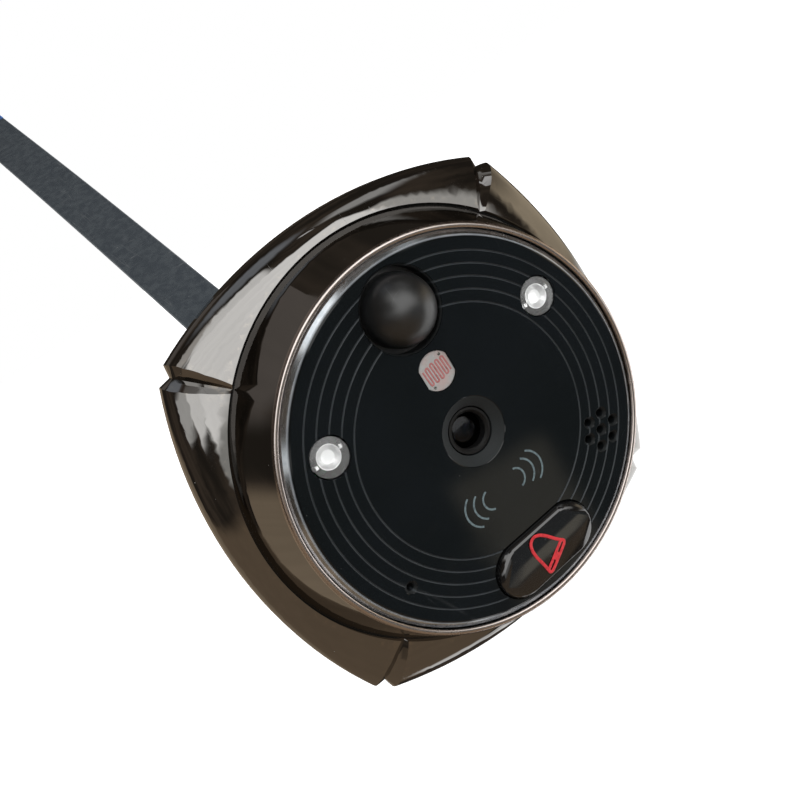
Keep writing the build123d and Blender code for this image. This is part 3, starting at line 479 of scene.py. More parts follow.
def ribbon_jacket(name, colour, lighter):
    """Matt slate ribbon: fine lengthwise conductor ridges, margins paler towards the long edges, scratches
    and dust.
    """
    material, tree, surface = start_finish(name, Specular_IOR_Level=0.35)
    where = here(tree)
    across = part_of(tree, where, "X")
    skin = grouped(tree, moulding_grain, Grain_Size=0.08)
    marks = grouped(tree, handling_marks, Smudge_Size=14.0, Scratch_Spacing=2.6, Scratch_Width=0.006)
    specks = grouped(tree, settled_dust, Speck_Spacing=2.2, Speck_Size=0.06)["Specks"]
    ridges = calc(tree, "SINE", times(tree, across, 2 * pi / CONDUCTOR_PITCH))
    inside = fit(tree, calc(tree, "ABSOLUTE", across), *RIDGES_END, 1.0, 0.0)
    margin = fit(tree, calc(tree, "ABSOLUTE", across), *MARGIN_START)
    body = tint(tree, skin["Mottle"], colour, lighter)
    # The margins are made paler towards the ribbon's long edges
    lightened = tint(tree, times(tree, margin, 0.45), body, shade((128, 132, 134)))
    scuffed = tint(tree, times(tree, marks["Scratches"], 0.2), lightened, shade(120))
    feed(tree, surface, "Base Color", tint(tree, times(tree, specks, 0.35), scuffed, shade(150)))
    feed(tree, surface, "Roughness", fit(tree, marks["Smudge"], 0.0, 1.0, 0.62, 0.54))
    relief = times(tree, times(tree, ridges, inside), 0.35)
    set_bump(tree, surface, calc(tree, "MULTIPLY_ADD", skin["Height"], 0.3, relief), 0.000012)
    return material


def circuit_board():
    """Green solder mask over copper tracks, with vias and a faint glass weave."""
    material, tree, surface = start_finish("board_green_mask")
    where = here(tree)
    flat = stretched(tree, where, (1, 0, 1))
    cells = put(tree, "TexVoronoi", {"Vector": flat, "Scale": 260.0, "Randomness": 0.0}, distance="MANHATTAN")
    upright = stretched(tree, where, (1, 1, 1), (pi / 2, 0, 0))
    track = put(
        tree, "TexBrick", {"Vector": upright, "Scale": 420.0, "Mortar Size": 0.06},
        offset=0.37, squash=1.6, squash_frequency=3,
    ).outputs["Fac"]
    via = fit(tree, cells.outputs["Distance"], 0.12, 0.16, 1.0, 0.0)
    weave = noise(tree, stretched(tree, where, (1, 0, 0.25)), 1800.0, 2.0)
    mask = tint(tree, fit(tree, weave, 0.35, 0.65), shade((20, 92, 52)), shade((28, 106, 62)))
    copper = tint(tree, times(tree, track, 0.7), mask, shade((52, 140, 84)))
    specks = grouped(tree, settled_dust, Speck_Spacing=1.6, Speck_Size=0.06)["Specks"]
    dotted = tint(tree, via, copper, shade((200, 196, 180)))
    feed(tree, surface, "Base Color", tint(tree, times(tree, specks, 0.3), dotted, shade(180)))
    feed(tree, surface, "Roughness", fit(tree, weave, 0.3, 0.7, 0.28, 0.4))
    set_bump(tree, surface, calc(tree, "MULTIPLY_ADD", track, 0.8, weave), 0.00002)
    return material


def foam(name, colour, lighter):
    """Closed-cell foam with open cut cells."""
    material, tree, surface = start_finish(name, Specular_IOR_Level=0.2)
    where = here(tree)
    cells = cell_distance(tree, where, 2600.0, feature="SMOOTH_F1")
    wide = cell_distance(tree, where, 900.0)
    pits = times(tree, fit(tree, cells, 0.1, 0.6), fit(tree, wide, 0.05, 0.4, 0.5, 1.0))
    skin = grouped(tree, moulding_grain, Grain_Size=0.5)
    specks = grouped(tree, settled_dust, Speck_Spacing=1.4, Speck_Size=0.08)["Specks"]
    # The cells' hollows get the darker colour: painted shade inside the open cells
    body = tint(tree, pits, colour, lighter)
    worn = tint(tree, times(tree, skin["Mottle"], 0.3), body, shade(64))
    feed(tree, surface, "Base Color", tint(tree, times(tree, specks, 0.4), worn, shade(150)))
    feed(tree, surface, "Roughness", fit(tree, pits, 0.0, 1.0, 0.95, 0.8))
    set_bump(tree, surface, pits, 0.00008)
    return material


def printed(name, colour, thinner, gap=0.06):
    """Screen-printed ink with a faint mesh pattern and thin spots."""
    material, tree, surface = start_finish(name)
    where = here(tree)
    thin = fit(tree, noise(tree, where, 2500.0, 4.0, 0.6), 0.42, 0.68)
    mesh_marks = cell_distance(tree, where, 1000 / gap)
    feed(tree, surface, "Base Color", tint(tree, thin, colour, thinner))
    feed(tree, surface, "Roughness", fit(tree, mesh_marks, 0.0, 0.7, 0.32, 0.5))
    set_bump(tree, surface, calc(tree, "ADD", mesh_marks, thin), 0.000003)
    return material


def cell_face():
    """Photocell: pale ceramic under clear lacquer, with grain and a pinkish cast."""
    material, tree, surface = start_finish("photocell_ceramic", Coat_Weight=0.8, Coat_Roughness=0.12)
    where = here(tree)
    grain = noise(tree, where, 3500.0, 4.0, 0.6)
    cast = fit(tree, noise(tree, where, 420.0, 2.0), 0.35, 0.65)
    pale = tint(tree, cast, shade((148, 132, 128)), shade((138, 140, 138)))
    specks = grouped(tree, settled_dust, Speck_Spacing=0.8, Speck_Size=0.08)["Specks"]
    speckled = tint(tree, fit(tree, grain, 0.52, 0.7, 0.0, 0.4), pale, shade((130, 114, 110)))
    feed(tree, surface, "Base Color", tint(tree, times(tree, specks, 0.4), speckled, shade(220)))
    feed(tree, surface, "Roughness", fit(tree, grain, 0.3, 0.7, 0.3, 0.5))
    set_bump(tree, surface, grain, 0.000008)
    return material


def contact_stiffener():
    """Blue stiffener film with the ribbon's tinned contacts along it."""
    material, tree, surface = start_finish("stiffener_and_contacts")
    where = here(tree)
    across = part_of(tree, where, "X")
    facing = put(tree, "SeparateXYZ", {0: put(tree, "NewGeometry").outputs["True Normal"]}).outputs["Z"]
    upper = fit(tree, facing, 0.2, 0.4)
    comb = calc(tree, "SINE", times(tree, across, 2 * pi / CONDUCTOR_PITCH))
    inside = fit(tree, calc(tree, "ABSOLUTE", across), *CONTACTS_END, 1.0, 0.0)
    strip = times(tree, times(tree, fit(tree, comb, -0.1, 0.1), inside), upper)
    skin = grouped(tree, moulding_grain, Grain_Size=0.15)
    film = tint(tree, skin["Mottle"], shade((46, 92, 160)), shade((56, 104, 172)))
    tin = tint(tree, skin["Mottle"], shade((214, 210, 198)), shade((190, 186, 176)))
    feed(tree, surface, "Base Color", tint(tree, strip, film, tin))
    feed(tree, surface, "Metallic", strip)
    feed(tree, surface, "Roughness", fit(tree, skin["Height"], 0.3, 0.9, 0.3, 0.45))
    set_bump(tree, surface, calc(tree, "MULTIPLY_ADD", skin["Height"], 0.2, strip), 0.00002)
    return material


FINISHES = {
    "housing": dark_nickel(),
    "face_plate": gloss_face(),
    "plate_adhesive": moulded("glue_tape", shade(48), shade(60), (0.6, 0.8), 0.2),
    "pir_dome": gloss_moulded(
        "dome_polished_black", shade((12, 13, 14)), shade((16, 17, 18)), (0.36, 0.44), 120.0, IOR=1.9,
    ),
    "pir_holder": moulded("holder_matt_black", shade(22), shade(30)),
    "pir_sensor": metal(
        "sensor_can_tin", shade((205, 203, 196)), shade((176, 172, 164)), (0.25, 0.4), (1, 6, 1),
    ),
    "led_bodies": clear(
        "lamp_clear_epoxy", shade((250, 251, 250)), (0.01, 0.05), 300.0, IOR=1.4, Transmission_Weight=0.9,
    ),
    "led_lead_frames": metal("lead_tin", shade((214, 212, 206)), shade((188, 186, 178)), (0.2, 0.34)),
    "photocell": cell_face(),
    "lens_barrel": moulded("lens_barrel_black", shade(7), shade(10), (0.42, 0.54), 0.15, 0.000005),
    "lens_front_element": clear(
        "lens_coated_glass", shade((96, 104, 120)), (0.01, 0.03), 200.0, 0.000001, IOR=1.35,
    ),
    "ir_filter": clear("filter_blue_glass", shade((150, 215, 225)), (0.02, 0.05), 200.0, IOR=1.5),
    "image_sensor": moulded("chip_epoxy", shade(32), shade(40), (0.5, 0.65), 0.12, 0.000006),
    "speaker": metal("speaker_plated_steel", shade((170, 168, 162)), shade((138, 136, 130)), (0.3, 0.45)),
    "speaker_diaphragm": gloss_moulded(
        "diaphragm_film", shade((44, 41, 38)), shade((58, 54, 50)), (0.2, 0.32), 900.0,
    ),
    "speaker_boot": moulded("boot_rubber", shade(24), shade(34), (0.7, 0.85), 0.4, 0.00002, 0.5),
    "microphone": metal(
        "microphone_can", shade((212, 212, 210)), shade((184, 184, 180)), (0.25, 0.4), (1, 8, 1),
    ),
    "bell_button": gloss_moulded("button_polished_black", shade(11), shade(15), (0.08, 0.16), 150.0, IOR=2.0),
    "switch_body": moulded("switch_matt_black", shade(30), shade(38)),
    "switch_plunger": moulded("plunger_brown", shade((96, 60, 40)), shade((112, 72, 50)), (0.4, 0.55)),
    "switch_dome": metal(
        "spring_steel", shade((208, 208, 204)), shade((178, 178, 174)), (0.2, 0.3), (1, 1, 12),
    ),
    "main_board": circuit_board(),
    "board_screws": metal("screw_zinc", shade((200, 202, 204)), shade((160, 164, 166)), (0.25, 0.45)),
    "ribbon_connector": moulded(
        "connector_cream", shade((216, 210, 190)), shade((226, 221, 204)), (0.45, 0.6), 0.2,
    ),
    "ribbon_inner": ribbon_jacket("ribbon_slate_jacket", shade((52, 57, 62)), shade((62, 67, 71))),
    "ribbon_contact_end": contact_stiffener(),
    "rear_cover": moulded("cover_matt_black", shade(28), shade(38), (0.5, 0.68), 0.45, 0.00003),
    "door_pad": foam("pad_foam", shade(20), shade(46)),
}
SAME_FINISH = {
    "photocell_spacer": "pir_holder",
    "lens_rear_element": "lens_front_element",
    "lens_holder": "pir_holder",
    "microphone_boot": "speaker_boot",
    "board_chips": "image_sensor",
    "cover_seal": "speaker_boot",
    "cover_screws": "board_screws",
    "barrel_screws": "board_screws",
}
for node, other in SAME_FINISH.items():
    FINISHES[node] = FINISHES[other]
BRASS = metal("barrel_brass", shade((205, 190, 150)), shade((178, 160, 116)), (0.22, 0.36), (1, 5, 1))


def dress(piece, material):
    piece.data.materials.clear()
    piece.data.materials.append(material)


for node, material in FINISHES.items():
    dress(nodes[node], material)
dress(nodes["threaded_barrel"], BRASS)


# New pieces.
def select_only(piece):
    bpy.ops.object.select_all(action="DESELECT")
    piece.select_set(True)
    bpy.context.view_layer.objects.active = piece


def settle(piece, body, material):
    """Puts the piece's place into its mesh, and gives it its finish and body."""
    select_only(piece)
    bpy.ops.object.transform_apply(location=True, rotation=True, scale=True)
    dress(piece, material)
    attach(piece, body)


def named(name):
    piece = bpy.context.object
    piece.name = name
    piece.data.name = name
    return piece


def finish_with(piece, kind, **settings):
    select_only(piece)
    modifier = piece.modifiers.new(kind.lower(), kind)
    for label, value in settings.items():
        setattr(modifier, label, value)
    bpy.ops.object.modifier_apply(modifier=modifier.name)


def pick(piece, test):
    """Selects the vertices that pass the test, in edit mode."""
    bpy.ops.mesh.select_all(action="DESELECT")
    bpy.ops.mesh.select_mode(type="VERT")
    bpy.ops.object.mode_set(mode="OBJECT")
    for vertex in piece.data.vertices:
        vertex.select = test(vertex.co)
    bpy.ops.object.mode_set(mode="EDIT")


# Points closer than this, in metres, are merged
MERGE_WITHIN = 0.000002
LARGE_FACE_WEIGHT = 60


def smooth_copy(node, name, angle=30.0):
    """A merged, smooth-shaded copy of a CAD node, so that its curved faces reflect evenly."""
    copy = nodes[node].copy()
    copy.data = nodes[node].data.copy()
    copy.name = name
    copy.parent = None
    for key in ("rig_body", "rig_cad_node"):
        if key in copy:
            del copy[key]
    bpy.context.scene.collection.objects.link(copy)
    select_only(copy)
    bpy.ops.object.mode_set(mode="EDIT")
    bpy.ops.mesh.select_all(action="SELECT")
    bpy.ops.mesh.customdata_custom_splitnormals_clear()
    bpy.ops.mesh.remove_doubles(threshold=MERGE_WITHIN)
    bpy.ops.object.mode_set(mode="OBJECT")
    bpy.ops.object.shade_smooth_by_angle(angle=radians(angle))
    finish_with(copy, "WEIGHTED_NORMAL", keep_sharp=True, weight=LARGE_FACE_WEIGHT)
    return copy


housing = smooth_copy("housing", "plated_housing")
settle(housing, "unit", FINISHES["housing"])
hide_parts("housing")


# Per node: its smooth copy's name, body, slot, and the angle in degrees up to which edges are shaded smooth
SMOOTHED = {
    "pir_dome": ("motion_dome", "unit", "dome_black", 30),
    "led_bodies": ("clear_lamps", "unit", "led_clear", 30),
    "bell_button": ("bell_push", "button", "button_black", 48),
    "face_plate": ("gloss_face_plate", "unit", "face_gloss", 33),
    "lens_barrel": ("lens_tube", "unit", "lens_black", 30),
    "lens_front_element": ("front_glass", "unit", "lens_glass", 30),
    "rear_cover": ("back_cover", "unit", "cover_black", 25),
    "pir_sensor": ("motion_sensor_can", "unit", "sensor_can", 30),
}
for node, (name, body, slot, angle) in SMOOTHED.items():
    piece = smooth_copy(node, name, angle)
    settle(piece, body, FINISHES[node])
    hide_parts(node)


# Printed sound-wave arcs, in millimetres: each has its outermost place, radius, half chord and side
WAVE_HEIGHT = -8.8
WAVES = [
    (-7.0, 2.67, 2.4, -1), (-5.6, 2.18, 1.95, -1), (-4.1, 1.54, 1.5, -1),
    (6.1, 2.67, 2.4, 1), (4.7, 2.18, 1.95, 1), (3.1, 1.54, 1.5, 1),
]
PRINT_WIDTH = 0.26
INK = 0.02


def add_wave_arcs():
    arcs = []
    for outermost, radius, half_chord, side in WAVES:
        centre = (outermost - side * radius) * MM
        bpy.ops.object.select_all(action="DESELECT")
        place = (centre, FACE - INK * MM, WAVE_HEIGHT * MM)
        bpy.ops.mesh.primitive_circle_add(
            vertices=128, radius=radius * MM, location=place, rotation=(pi / 2, 0, 0),
        )
        arc = named("wave_arc_%d" % (len(arcs) + 1))
        bpy.ops.object.transform_apply(location=False, rotation=True, scale=False)
        bpy.ops.object.mode_set(mode="EDIT")
        pick(arc, lambda at: abs(at.z) > half_chord * MM or at.x * side < 0)
        bpy.ops.mesh.delete(type="VERT")
        bpy.ops.mesh.select_all(action="SELECT")
        bpy.ops.mesh.extrude_edges_move()
        inner = (radius - PRINT_WIDTH) / radius
        bpy.ops.transform.resize(value=(inner, 1, inner), center_override=place)
        bpy.ops.object.mode_set(mode="OBJECT")
        finish_with(arc, "SOLIDIFY", thickness=INK * MM, offset=0.0)
        arcs.append(arc)
    select_only(arcs[0])
    for arc in arcs[1:]:
        arc.select_set(True)
    bpy.ops.object.join()
    joined = named("printed_wave_arcs")
    bpy.ops.object.mode_set(mode="EDIT")
    bpy.ops.mesh.select_all(action="SELECT")
    bpy.ops.mesh.normals_make_consistent(inside=False)
    bpy.ops.object.mode_set(mode="OBJECT")
    settle(joined, "unit", printed("wave_ink", shade((88, 102, 105)), shade((66, 76, 80))))


add_wave_arcs()


# Bell sign: its outline before it is tilted, millimetres across and up from its middle
BELL_MIDDLE = (-0.58, -18.8)
BELL_TILT = 30.0
BELL_BODY = [
    (-2.15, -1.85), (-1.83, -1.15), (-1.56, -0.25), (-1.24, 0.75), (-0.74, 1.75), (-0.02, 2.4), (0.92, 2.4),
    (1.46, 1.75), (1.76, 0.75), (1.88, -0.25), (1.97, -1.15), (2.15, -1.85),
]
BELL_RIM = [
    (-2.15, -1.85), (-2.3, -2.2), (-2.1, -2.5), (-1.4, -2.55), (1.4, -2.55), (2.1, -2.5), (2.3, -2.2),
    (2.15, -1.85),
]
BELL_LIP = [(-2.15, -1.85), (2.15, -1.85)]
BELL_CLAPPER = [(-0.55, -2.15), (0.55, -2.15)]
BELL_STROKE = 0.46
BELL_FLATNESS = 0.08
BELL_PROUD = 0.002


def add_stroke(name, points, smooth=True, width=BELL_STROKE, middle=BELL_MIDDLE, tilt=BELL_TILT):
    curve = bpy.data.curves.new(name, "CURVE")
    curve.dimensions = "3D"
    curve.resolution_u = 8
    curve.bevel_depth = width / 2 * MM
    curve.bevel_resolution = 2
    curve.use_fill_caps = True
    spline = curve.splines.new("NURBS" if smooth else "POLY")
    spline.points.add(len(points) - 1)
    lean = radians(tilt)
    for point, (across, up) in zip(spline.points, points):
        x = middle[0] + across * cos(lean) - up * sin(lean)
        z = middle[1] + across * sin(lean) + up * cos(lean)
        point.co = (x * MM, 0, z * MM, 1)
    if smooth:
        spline.order_u = 3
        spline.use_endpoint_u = True
    stroke = bpy.data.objects.new(name, curve)
    bpy.context.scene.collection.objects.link(stroke)
    select_only(stroke)
    bpy.ops.object.convert(target="MESH")
    return bpy.context.object


def add_bell():
    red = printed("bell_red_ink", shade((184, 38, 44)), shade((150, 26, 34)))
    strokes = [
        add_stroke("bell_body", BELL_BODY),
        add_stroke("bell_lip", BELL_LIP, smooth=False),
        add_stroke("bell_rim", BELL_RIM),
        add_stroke("bell_clapper", BELL_CLAPPER, smooth=False),
    ]
    select_only(strokes[0])
    for stroke in strokes[1:]:
        stroke.select_set(True)
    bpy.ops.object.join()
    bell = named("printed_bell")
    bell.scale = (1, BELL_FLATNESS, 1)
    bell.location = (0, BUTTON_TOP - BELL_PROUD * MM, 0)
    settle(bell, "button", red)


add_bell()


# Photocell: sensitive track winding between its two electrodes
CELL_MIDDLE = (0.0, 9.3)
TRACK_PASSES = 9
TRACK_STEP = 0.42
TRACK_REACH = 1.25
TRACK_TAPER = 0.05
TRACK_STRAIGHT_SHARE = 0.6
TRACK_WIDTH = 0.24
TRACK_TILT = 4.0
TRACK_FLATNESS = 0.12
TRACK_PROUD = 0.004
JOINT_OUT = (1.35, 1.62)
JOINT_RADIUS = 0.2
JOINT_DEPTH = 0.06
JOINT_BEVEL = 0.02


def add_cell_track():
    points = []
    for index in range(TRACK_PASSES):
        from_middle = index - (TRACK_PASSES - 1) / 2
        across = from_middle * TRACK_STEP
        reach = TRACK_REACH - TRACK_TAPER * abs(from_middle)
        start = -reach if index % 2 else reach
        straight = start * TRACK_STRAIGHT_SHARE
        points += [(across, start), (across, straight), (across, -straight), (across, -start)]
    track = add_stroke("cell_track", points, width=TRACK_WIDTH, middle=CELL_MIDDLE, tilt=TRACK_TILT)
    track.scale = (1, TRACK_FLATNESS, 1)
    track.location = (0, CELL_FRONT - TRACK_PROUD * MM, 0)
    pink = printed("cell_track_red", shade((148, 92, 90)), shade((128, 72, 70)), 0.1)
    settle(track, "unit", pink)
    for side in (-1, 1):
        bpy.ops.object.select_all(action="DESELECT")
        place = (side * JOINT_OUT[0] * MM, CELL_FRONT, (CELL_MIDDLE[1] + side * JOINT_OUT[1]) * MM)
        bpy.ops.mesh.primitive_cylinder_add(
            vertices=32, radius=JOINT_RADIUS * MM, depth=JOINT_DEPTH * MM,
            location=place, rotation=(pi / 2, 0, 0),
        )
        joint = named("cell_lead_joint_%d" % (1 if side < 0 else 2))
        bpy.ops.object.transform_apply(location=True, rotation=True, scale=True)
        finish_with(joint, "BEVEL", width=JOINT_BEVEL * MM, segments=3, limit_method="ANGLE")
        settle(joint, "unit", FINISHES["led_lead_frames"])


add_cell_track()


# Lamps: silvered reflector cup and posts seen through the clear epoxy
LAMP_PLACES = [(-17.2, 9.0), (17.2, 9.0)]
CUP_FRONT = 1.05
CUP_RADIUS = 1.55
CUP_BACK_RADIUS = 0.75
CUP_DEPTH = 1.2
CUP_WALL = 0.12
CUP_HOLLOW = 0.55
CUP_FLOOR_SHARE = 0.55
POST_OUT = 1.85
POST_RISE = 0.2
POST_MIDDLE = 1.35
POST_SIZE = 0.72
POST_TIP_SHARES = (0.6, 1, 0.75)
CUP_BEVEL = 0.05
POST_BEVEL = 0.09


def add_lamp_insides():
    silver = metal("lamp_cup_silver", shade(253), shade(248), (0.35, 0.5), (1, 1, 1), 0.35, 0.00003)
    for index, (x, z) in enumerate(LAMP_PLACES, 1):
        bpy.ops.object.select_all(action="DESELECT")
        place = (x * MM, LAMP_FRONT + (CUP_FRONT + CUP_DEPTH / 2) * MM, z * MM)
        bpy.ops.mesh.primitive_cone_add(
            vertices=64, radius1=CUP_BACK_RADIUS * MM, radius2=CUP_RADIUS * MM, depth=CUP_DEPTH * MM,
            location=place, rotation=(pi / 2, 0, 0),
        )
        cup = named("lamp_cup_%d" % index)
        bpy.ops.object.transform_apply(location=True, rotation=True, scale=True)
        mouth = LAMP_FRONT + (CUP_FRONT + 0.01) * MM
        bpy.ops.object.mode_set(mode="EDIT")
        pick(cup, lambda at: at.y < mouth)
        bpy.ops.mesh.inset(thickness=CUP_WALL * MM)
        bpy.ops.mesh.extrude_region_move(TRANSFORM_OT_translate={"value": (0, CUP_HOLLOW * MM, 0)})
        narrower = (CUP_FLOOR_SHARE, 1, CUP_FLOOR_SHARE)
        bpy.ops.transform.resize(value=narrower, center_override=(x * MM, 0, z * MM))
        bpy.ops.object.mode_set(mode="OBJECT")
        finish_with(cup, "BEVEL", width=CUP_BEVEL * MM, segments=2, limit_method="ANGLE")
        bpy.ops.object.shade_smooth_by_angle(angle=radians(40))
        settle(cup, "unit", silver)
        for side in (-1, 1):
            bpy.ops.object.select_all(action="DESELECT")
            middle = LAMP_FRONT + POST_MIDDLE * MM
            place = ((x + side * POST_OUT) * MM, middle, (z + side * POST_RISE) * MM)
            bpy.ops.mesh.primitive_cube_add(size=POST_SIZE * MM, location=place)
            post = named("lamp_post_%d_%s" % (index, "left" if side < 0 else "right"))
            bpy.ops.object.mode_set(mode="EDIT")
            pick(post, lambda at: at.y < 0)
            bpy.ops.transform.resize(value=POST_TIP_SHARES)
            bpy.ops.object.mode_set(mode="OBJECT")
            finish_with(post, "BEVEL", width=POST_BEVEL * MM, segments=3)
            settle(post, "unit", silver)


add_lamp_insides()


# Thread on the barrel, in millimetres; the root, crest and flanks are marked along one pitch
THREAD_PITCH = 1.0
THREAD_DEPTH = 0.55
CREST = 7.5
THREAD_LOW = -1.5
TURNS = 29
THREAD_MARKS = (0.12, 0.44, 0.6, 0.92)
THREAD_FROM = 0.4
BARREL_BEVEL = 0.5
THREAD_TO = BARREL_END / MM - BARREL_BEVEL
WALL_SLACK = 0.02
STEPS_PER_TURN = 72
TURN_MERGE = 0.00001
CUT_MERGE = 0.000001
THREAD_SMOOTHED = 25


def add_thread():
    """A thread with flat crests wound along the barrel, in place of the CAD barrel's plain outer wall."""
    barrel = smooth_copy("threaded_barrel", "barrel_core")
    bpy.ops.object.mode_set(mode="EDIT")
    bpy.ops.mesh.select_all(action="SELECT")
    bpy.ops.mesh.bisect(plane_co=(0, THREAD_FROM * MM, 0), plane_no=(0, 1, 0))
    bpy.ops.mesh.select_all(action="DESELECT")
    bpy.ops.mesh.select_mode(type="FACE")
    bpy.ops.object.mode_set(mode="OBJECT")
    for face in barrel.data.polygons:
        places = [barrel.data.vertices[i].co for i in face.vertices]
        radii = [hypot(place.x, place.z) for place in places]
        face.select = face.center.y > THREAD_FROM * MM and min(radii) > (CREST - WALL_SLACK) * MM
    bpy.ops.object.mode_set(mode="EDIT")
    bpy.ops.mesh.delete(type="FACE")
    bpy.ops.object.mode_set(mode="OBJECT")
    bpy.ops.object.select_all(action="DESELECT")
    bpy.ops.mesh.primitive_plane_add(size=1, location=(0, 0, 0))
    thread = named("thread_skin")
    profile = []
    root = CREST - THREAD_DEPTH
    root_end, crest_start, crest_end, root_start = THREAD_MARKS
    for turn in range(TURNS):
        start = THREAD_LOW + turn * THREAD_PITCH
        profile += [
            (root, start), (root, start + root_end), (CREST, start + crest_start),
            (CREST, start + crest_end), (root, start + root_start),
        ]
    mesh = bpy.data.meshes.new("thread_skin")
    places = [(radius * MM, along * MM, 0) for radius, along in profile]
    mesh.from_pydata(places, [(i, i + 1) for i in range(len(places) - 1)], [])
    thread.data = mesh
    finish_with(
        thread, "SCREW", angle=2 * pi, screw_offset=THREAD_PITCH * MM, axis="Y",
        steps=STEPS_PER_TURN, render_steps=STEPS_PER_TURN,
        use_merge_vertices=True, merge_threshold=TURN_MERGE, use_smooth_shade=False,
    )
    select_only(thread)
    bpy.ops.object.mode_set(mode="EDIT")
    for height, keep_above in ((THREAD_FROM, True), (THREAD_TO, False)):
        bpy.ops.mesh.select_all(action="SELECT")
        bpy.ops.mesh.bisect(
            plane_co=(0, height * MM, 0), plane_no=(0, 1, 0),
            clear_inner=keep_above, clear_outer=not keep_above,
        )
    bpy.ops.mesh.select_all(action="SELECT")
    bpy.ops.mesh.remove_doubles(threshold=CUT_MERGE)
    bpy.ops.mesh.normals_make_consistent(inside=False)
    bpy.ops.object.mode_set(mode="OBJECT")
    bpy.ops.object.shade_smooth_by_angle(angle=radians(THREAD_SMOOTHED))
    select_only(barrel)
    thread.select_set(True)
    bpy.ops.object.join()
    barrel = named("threaded_brass_barrel")
    settle(barrel, "unit", BRASS)
    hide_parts("threaded_barrel")


add_thread()


# Stage.
FLOOR_SIZE = 6
FLOOR_LEVEL = -0.16
FLOOR_GLOW = (0.62, 1.1)
FLOOR_GLOW_REACH = (0.1, 0.6)
WORLD_DIFFUSE_SHARE = 0.42
ROOM_RADIUS = 1.2
PATCH_STRETCH = (2.2, 2.2, 9.0)
PATCH_DARK_MOST = 0.16
PATCH_DARK_SHARE = 0.55


def add_floor():
    bpy.ops.object.select_all(action="DESELECT")
    bpy.ops.mesh.primitive_plane_add(size=FLOOR_SIZE, location=(0, 0, FLOOR_LEVEL))
    floor = bpy.context.object
    floor.name = "floor"
    material = bpy.data.materials.new("pale_floor")
    material.use_nodes = True
    tree = material.node_tree
    tree.nodes.remove(tree.nodes["Principled BSDF"])
    pale = put(tree, "BsdfDiffuse", {"Color": (0.8, 0.8, 0.8, 1)})
    camera_only = put(tree, "LightPath").outputs["Is Camera Ray"]
    away = put(tree, "VectorMath", {0: here(tree)}, operation="LENGTH").outputs["Value"]
    level = fit(tree, away, *FLOOR_GLOW_REACH, *FLOOR_GLOW)
    lift = put(tree, "Emission", {"Color": (1, 1, 1, 1), "Strength": times(tree, camera_only, level)})
    both = put(tree, "AddShader", {0: pale.outputs[0], 1: lift.outputs[0]})
    tree.links.new(both.outputs[0], tree.nodes["Material Output"].inputs["Surface"])
    floor.data.materials.append(material)
    floor.visible_glossy = False


def add_world():
    world = bpy.data.worlds.new("studio")
    bpy.context.scene.world = world
    world.use_nodes = True
    tree = world.node_tree
    rays = put(tree, "LightPath").outputs
    seen = calc(tree, "MAXIMUM", rays["Is Camera Ray"], rays["Is Transmission Ray"])
    shown = calc(tree, "MAXIMUM", seen, rays["Is Glossy Ray"])
    feed(tree, tree.nodes["Background"], "Strength", fit(tree, shown, 0.0, 1.0, WORLD_DIFFUSE_SHARE, 1.0))
    tree.nodes["Background"].inputs["Color"].default_value = (1, 1, 1, 1)


def between(tree, degrees, ends, soft):
    """1 between two directions and 0 outside, with soft ends."""
    low, high = ends
    after = fit(tree, degrees, low - soft, low + soft)
    return times(tree, after, fit(tree, degrees, high - soft, high + soft, 1.0, 0.0))


# What the polished metal reflects. Each patch has its range of turn, from straight in front towards +X,
# its range of rise, both in degrees, how soft its ends are, and its light
ROOM = [
    ((-150, 34), (-95, -9), 3.0, (0.21, 0.155, 0.105)),
    ((-190, -122), (-42, 3), 4.0, (0.30, 0.235, 0.165)),
    ((-190, -130), (24, 60), 4.0, (0.17, 0.15, 0.135)),
    ((58, 118), (-12, 6), 5.0, (0.62, 0.52, 0.38)),
    ((30, 46), (-4, 34), 2.5, (0.8, 0.79, 0.76)),
    ((56, 84), (45, 66), 5.0, (0.6, 0.6, 0.59)),
    ((4, 38), (-34, -6), 3.0, (0.09, 0.098, 0.102)),
    ((18, 26), (-33, -24), 0.8, (0.52, 0.48, 0.40)),
    ((-26, 4), (-7, 6), 2.0, (0.5, 0.5, 0.48)),
    ((-66, -36), (10, 18), 1.5, (0.8, 0.8, 0.78)),
    ((-40, 5), (6, 18), 1.5, (1.4, 1.4, 1.38)),
    ((-50, -24), (50, 68), 4.0, (0.75, 0.72, 0.68)),
    ((-28, 6), (46, 67), 3.0, (1.4, 1.4, 1.38)),
    ((-24, 39), (2, 50), 1.5, (1.6, 1.6, 1.58)),
    ((43, 48), (65, 70), 1.0, (0.95, 0.95, 0.96)),
    ((-200, 200), (76, 100), 5.0, (0.30, 0.32, 0.35)),
    ((56, 148), (-84, -13), 4.0, (1.45, 1.45, 1.44)),
    ((-200, 200), (-95, -84), 2.0, (1.2, 1.19, 1.17)),
]


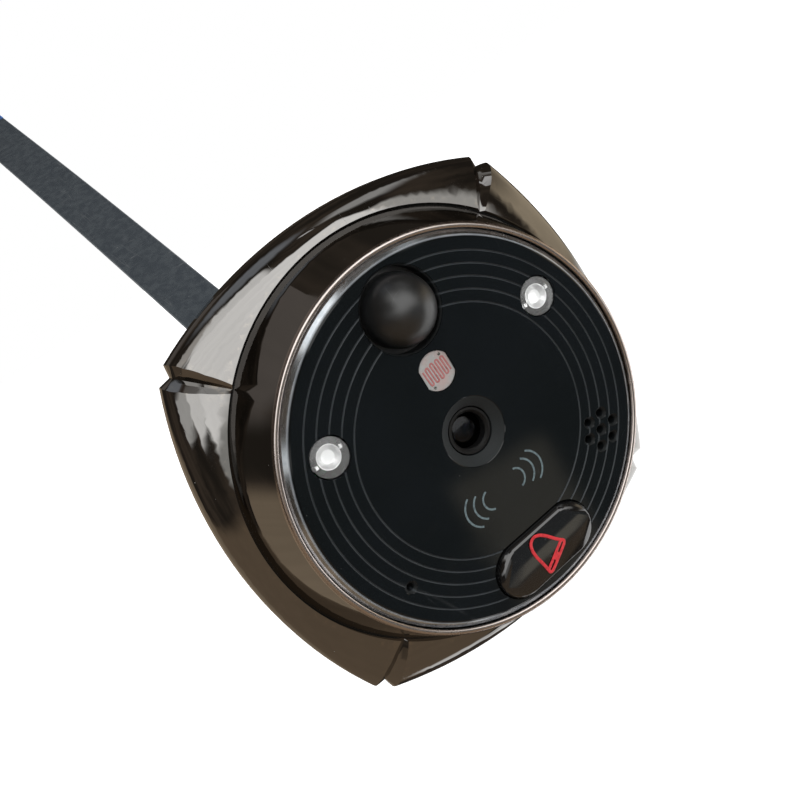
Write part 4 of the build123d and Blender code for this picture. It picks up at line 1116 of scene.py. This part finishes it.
def add_room():
    """A big shell round the object, seen only in its reflections: window, table and dark room."""
    bpy.ops.object.select_all(action="DESELECT")
    bpy.ops.mesh.primitive_ico_sphere_add(subdivisions=5, radius=ROOM_RADIUS)
    room = named("room_shell")
    material = bpy.data.materials.new("room_reflections")
    material.use_nodes = True
    tree = material.node_tree
    tree.nodes.remove(tree.nodes["Principled BSDF"])
    aim = put(tree, "VectorMath", {0: here(tree)}, operation="NORMALIZE").outputs[0]
    parts = put(tree, "SeparateXYZ", {0: aim}).outputs
    turn = calc(tree, "DEGREES", calc(tree, "ARCTAN2", parts["X"], times(tree, parts["Y"], -1.0)))
    rise = calc(tree, "DEGREES", calc(tree, "ARCSINE", parts["Z"]))
    gloom = fit(tree, noise(tree, aim, 2.5, 3.0), 0.4, 0.7)
    colour = tint(tree, gloom, (0.03, 0.025, 0.02, 1), (0.085, 0.066, 0.05, 1))
    streaks = noise(tree, stretched(tree, aim, PATCH_STRETCH), 2.0, 4.0)
    uneven = fit(tree, streaks, 0.3, 0.7, 0.0, PATCH_DARK_MOST)
    for turns, rises, soft, light in ROOM:
        mask = times(tree, between(tree, turn, turns, soft), between(tree, rise, rises, soft))
        lit = tint(tree, uneven, (*light, 1), (*(level * PATCH_DARK_SHARE for level in light), 1))
        colour = tint(tree, mask, colour, lit)
    glow = put(tree, "Emission", {"Color": colour, "Strength": 1.0})
    tree.links.new(glow.outputs[0], tree.nodes["Material Output"].inputs["Surface"])
    dress(room, material)
    room.visible_camera = False
    room.visible_diffuse = False
    room.visible_shadow = False
    room.visible_transmission = False
    room.visible_volume_scatter = False


# Each light's name, place, size and power
LIGHTS = [
    ("window_light", (-0.25, -0.6, 0.7), 0.5, 7.0),
    ("side_light", (0.7, -0.4, 0.25), 0.5, 2.5),
    ("low_light", (0.5, -0.3, -0.1), 0.25, 1.6),
]


def add_light(name, place, size, power):
    data = bpy.data.lights.new(name, "AREA")
    data.shape = "DISK"
    data.size = size
    data.energy = power
    light = bpy.data.objects.new(name, data)
    bpy.context.scene.collection.objects.link(light)
    light.location = place
    light.rotation_euler = Vector(place).to_track_quat("Z", "Y").to_euler()
    light.visible_glossy = False


add_floor()
add_world()
add_room()
for light in LIGHTS:
    add_light(*light)

bpy.context.scene.view_settings.view_transform = "Standard"

bpy.context.view_layer.update()
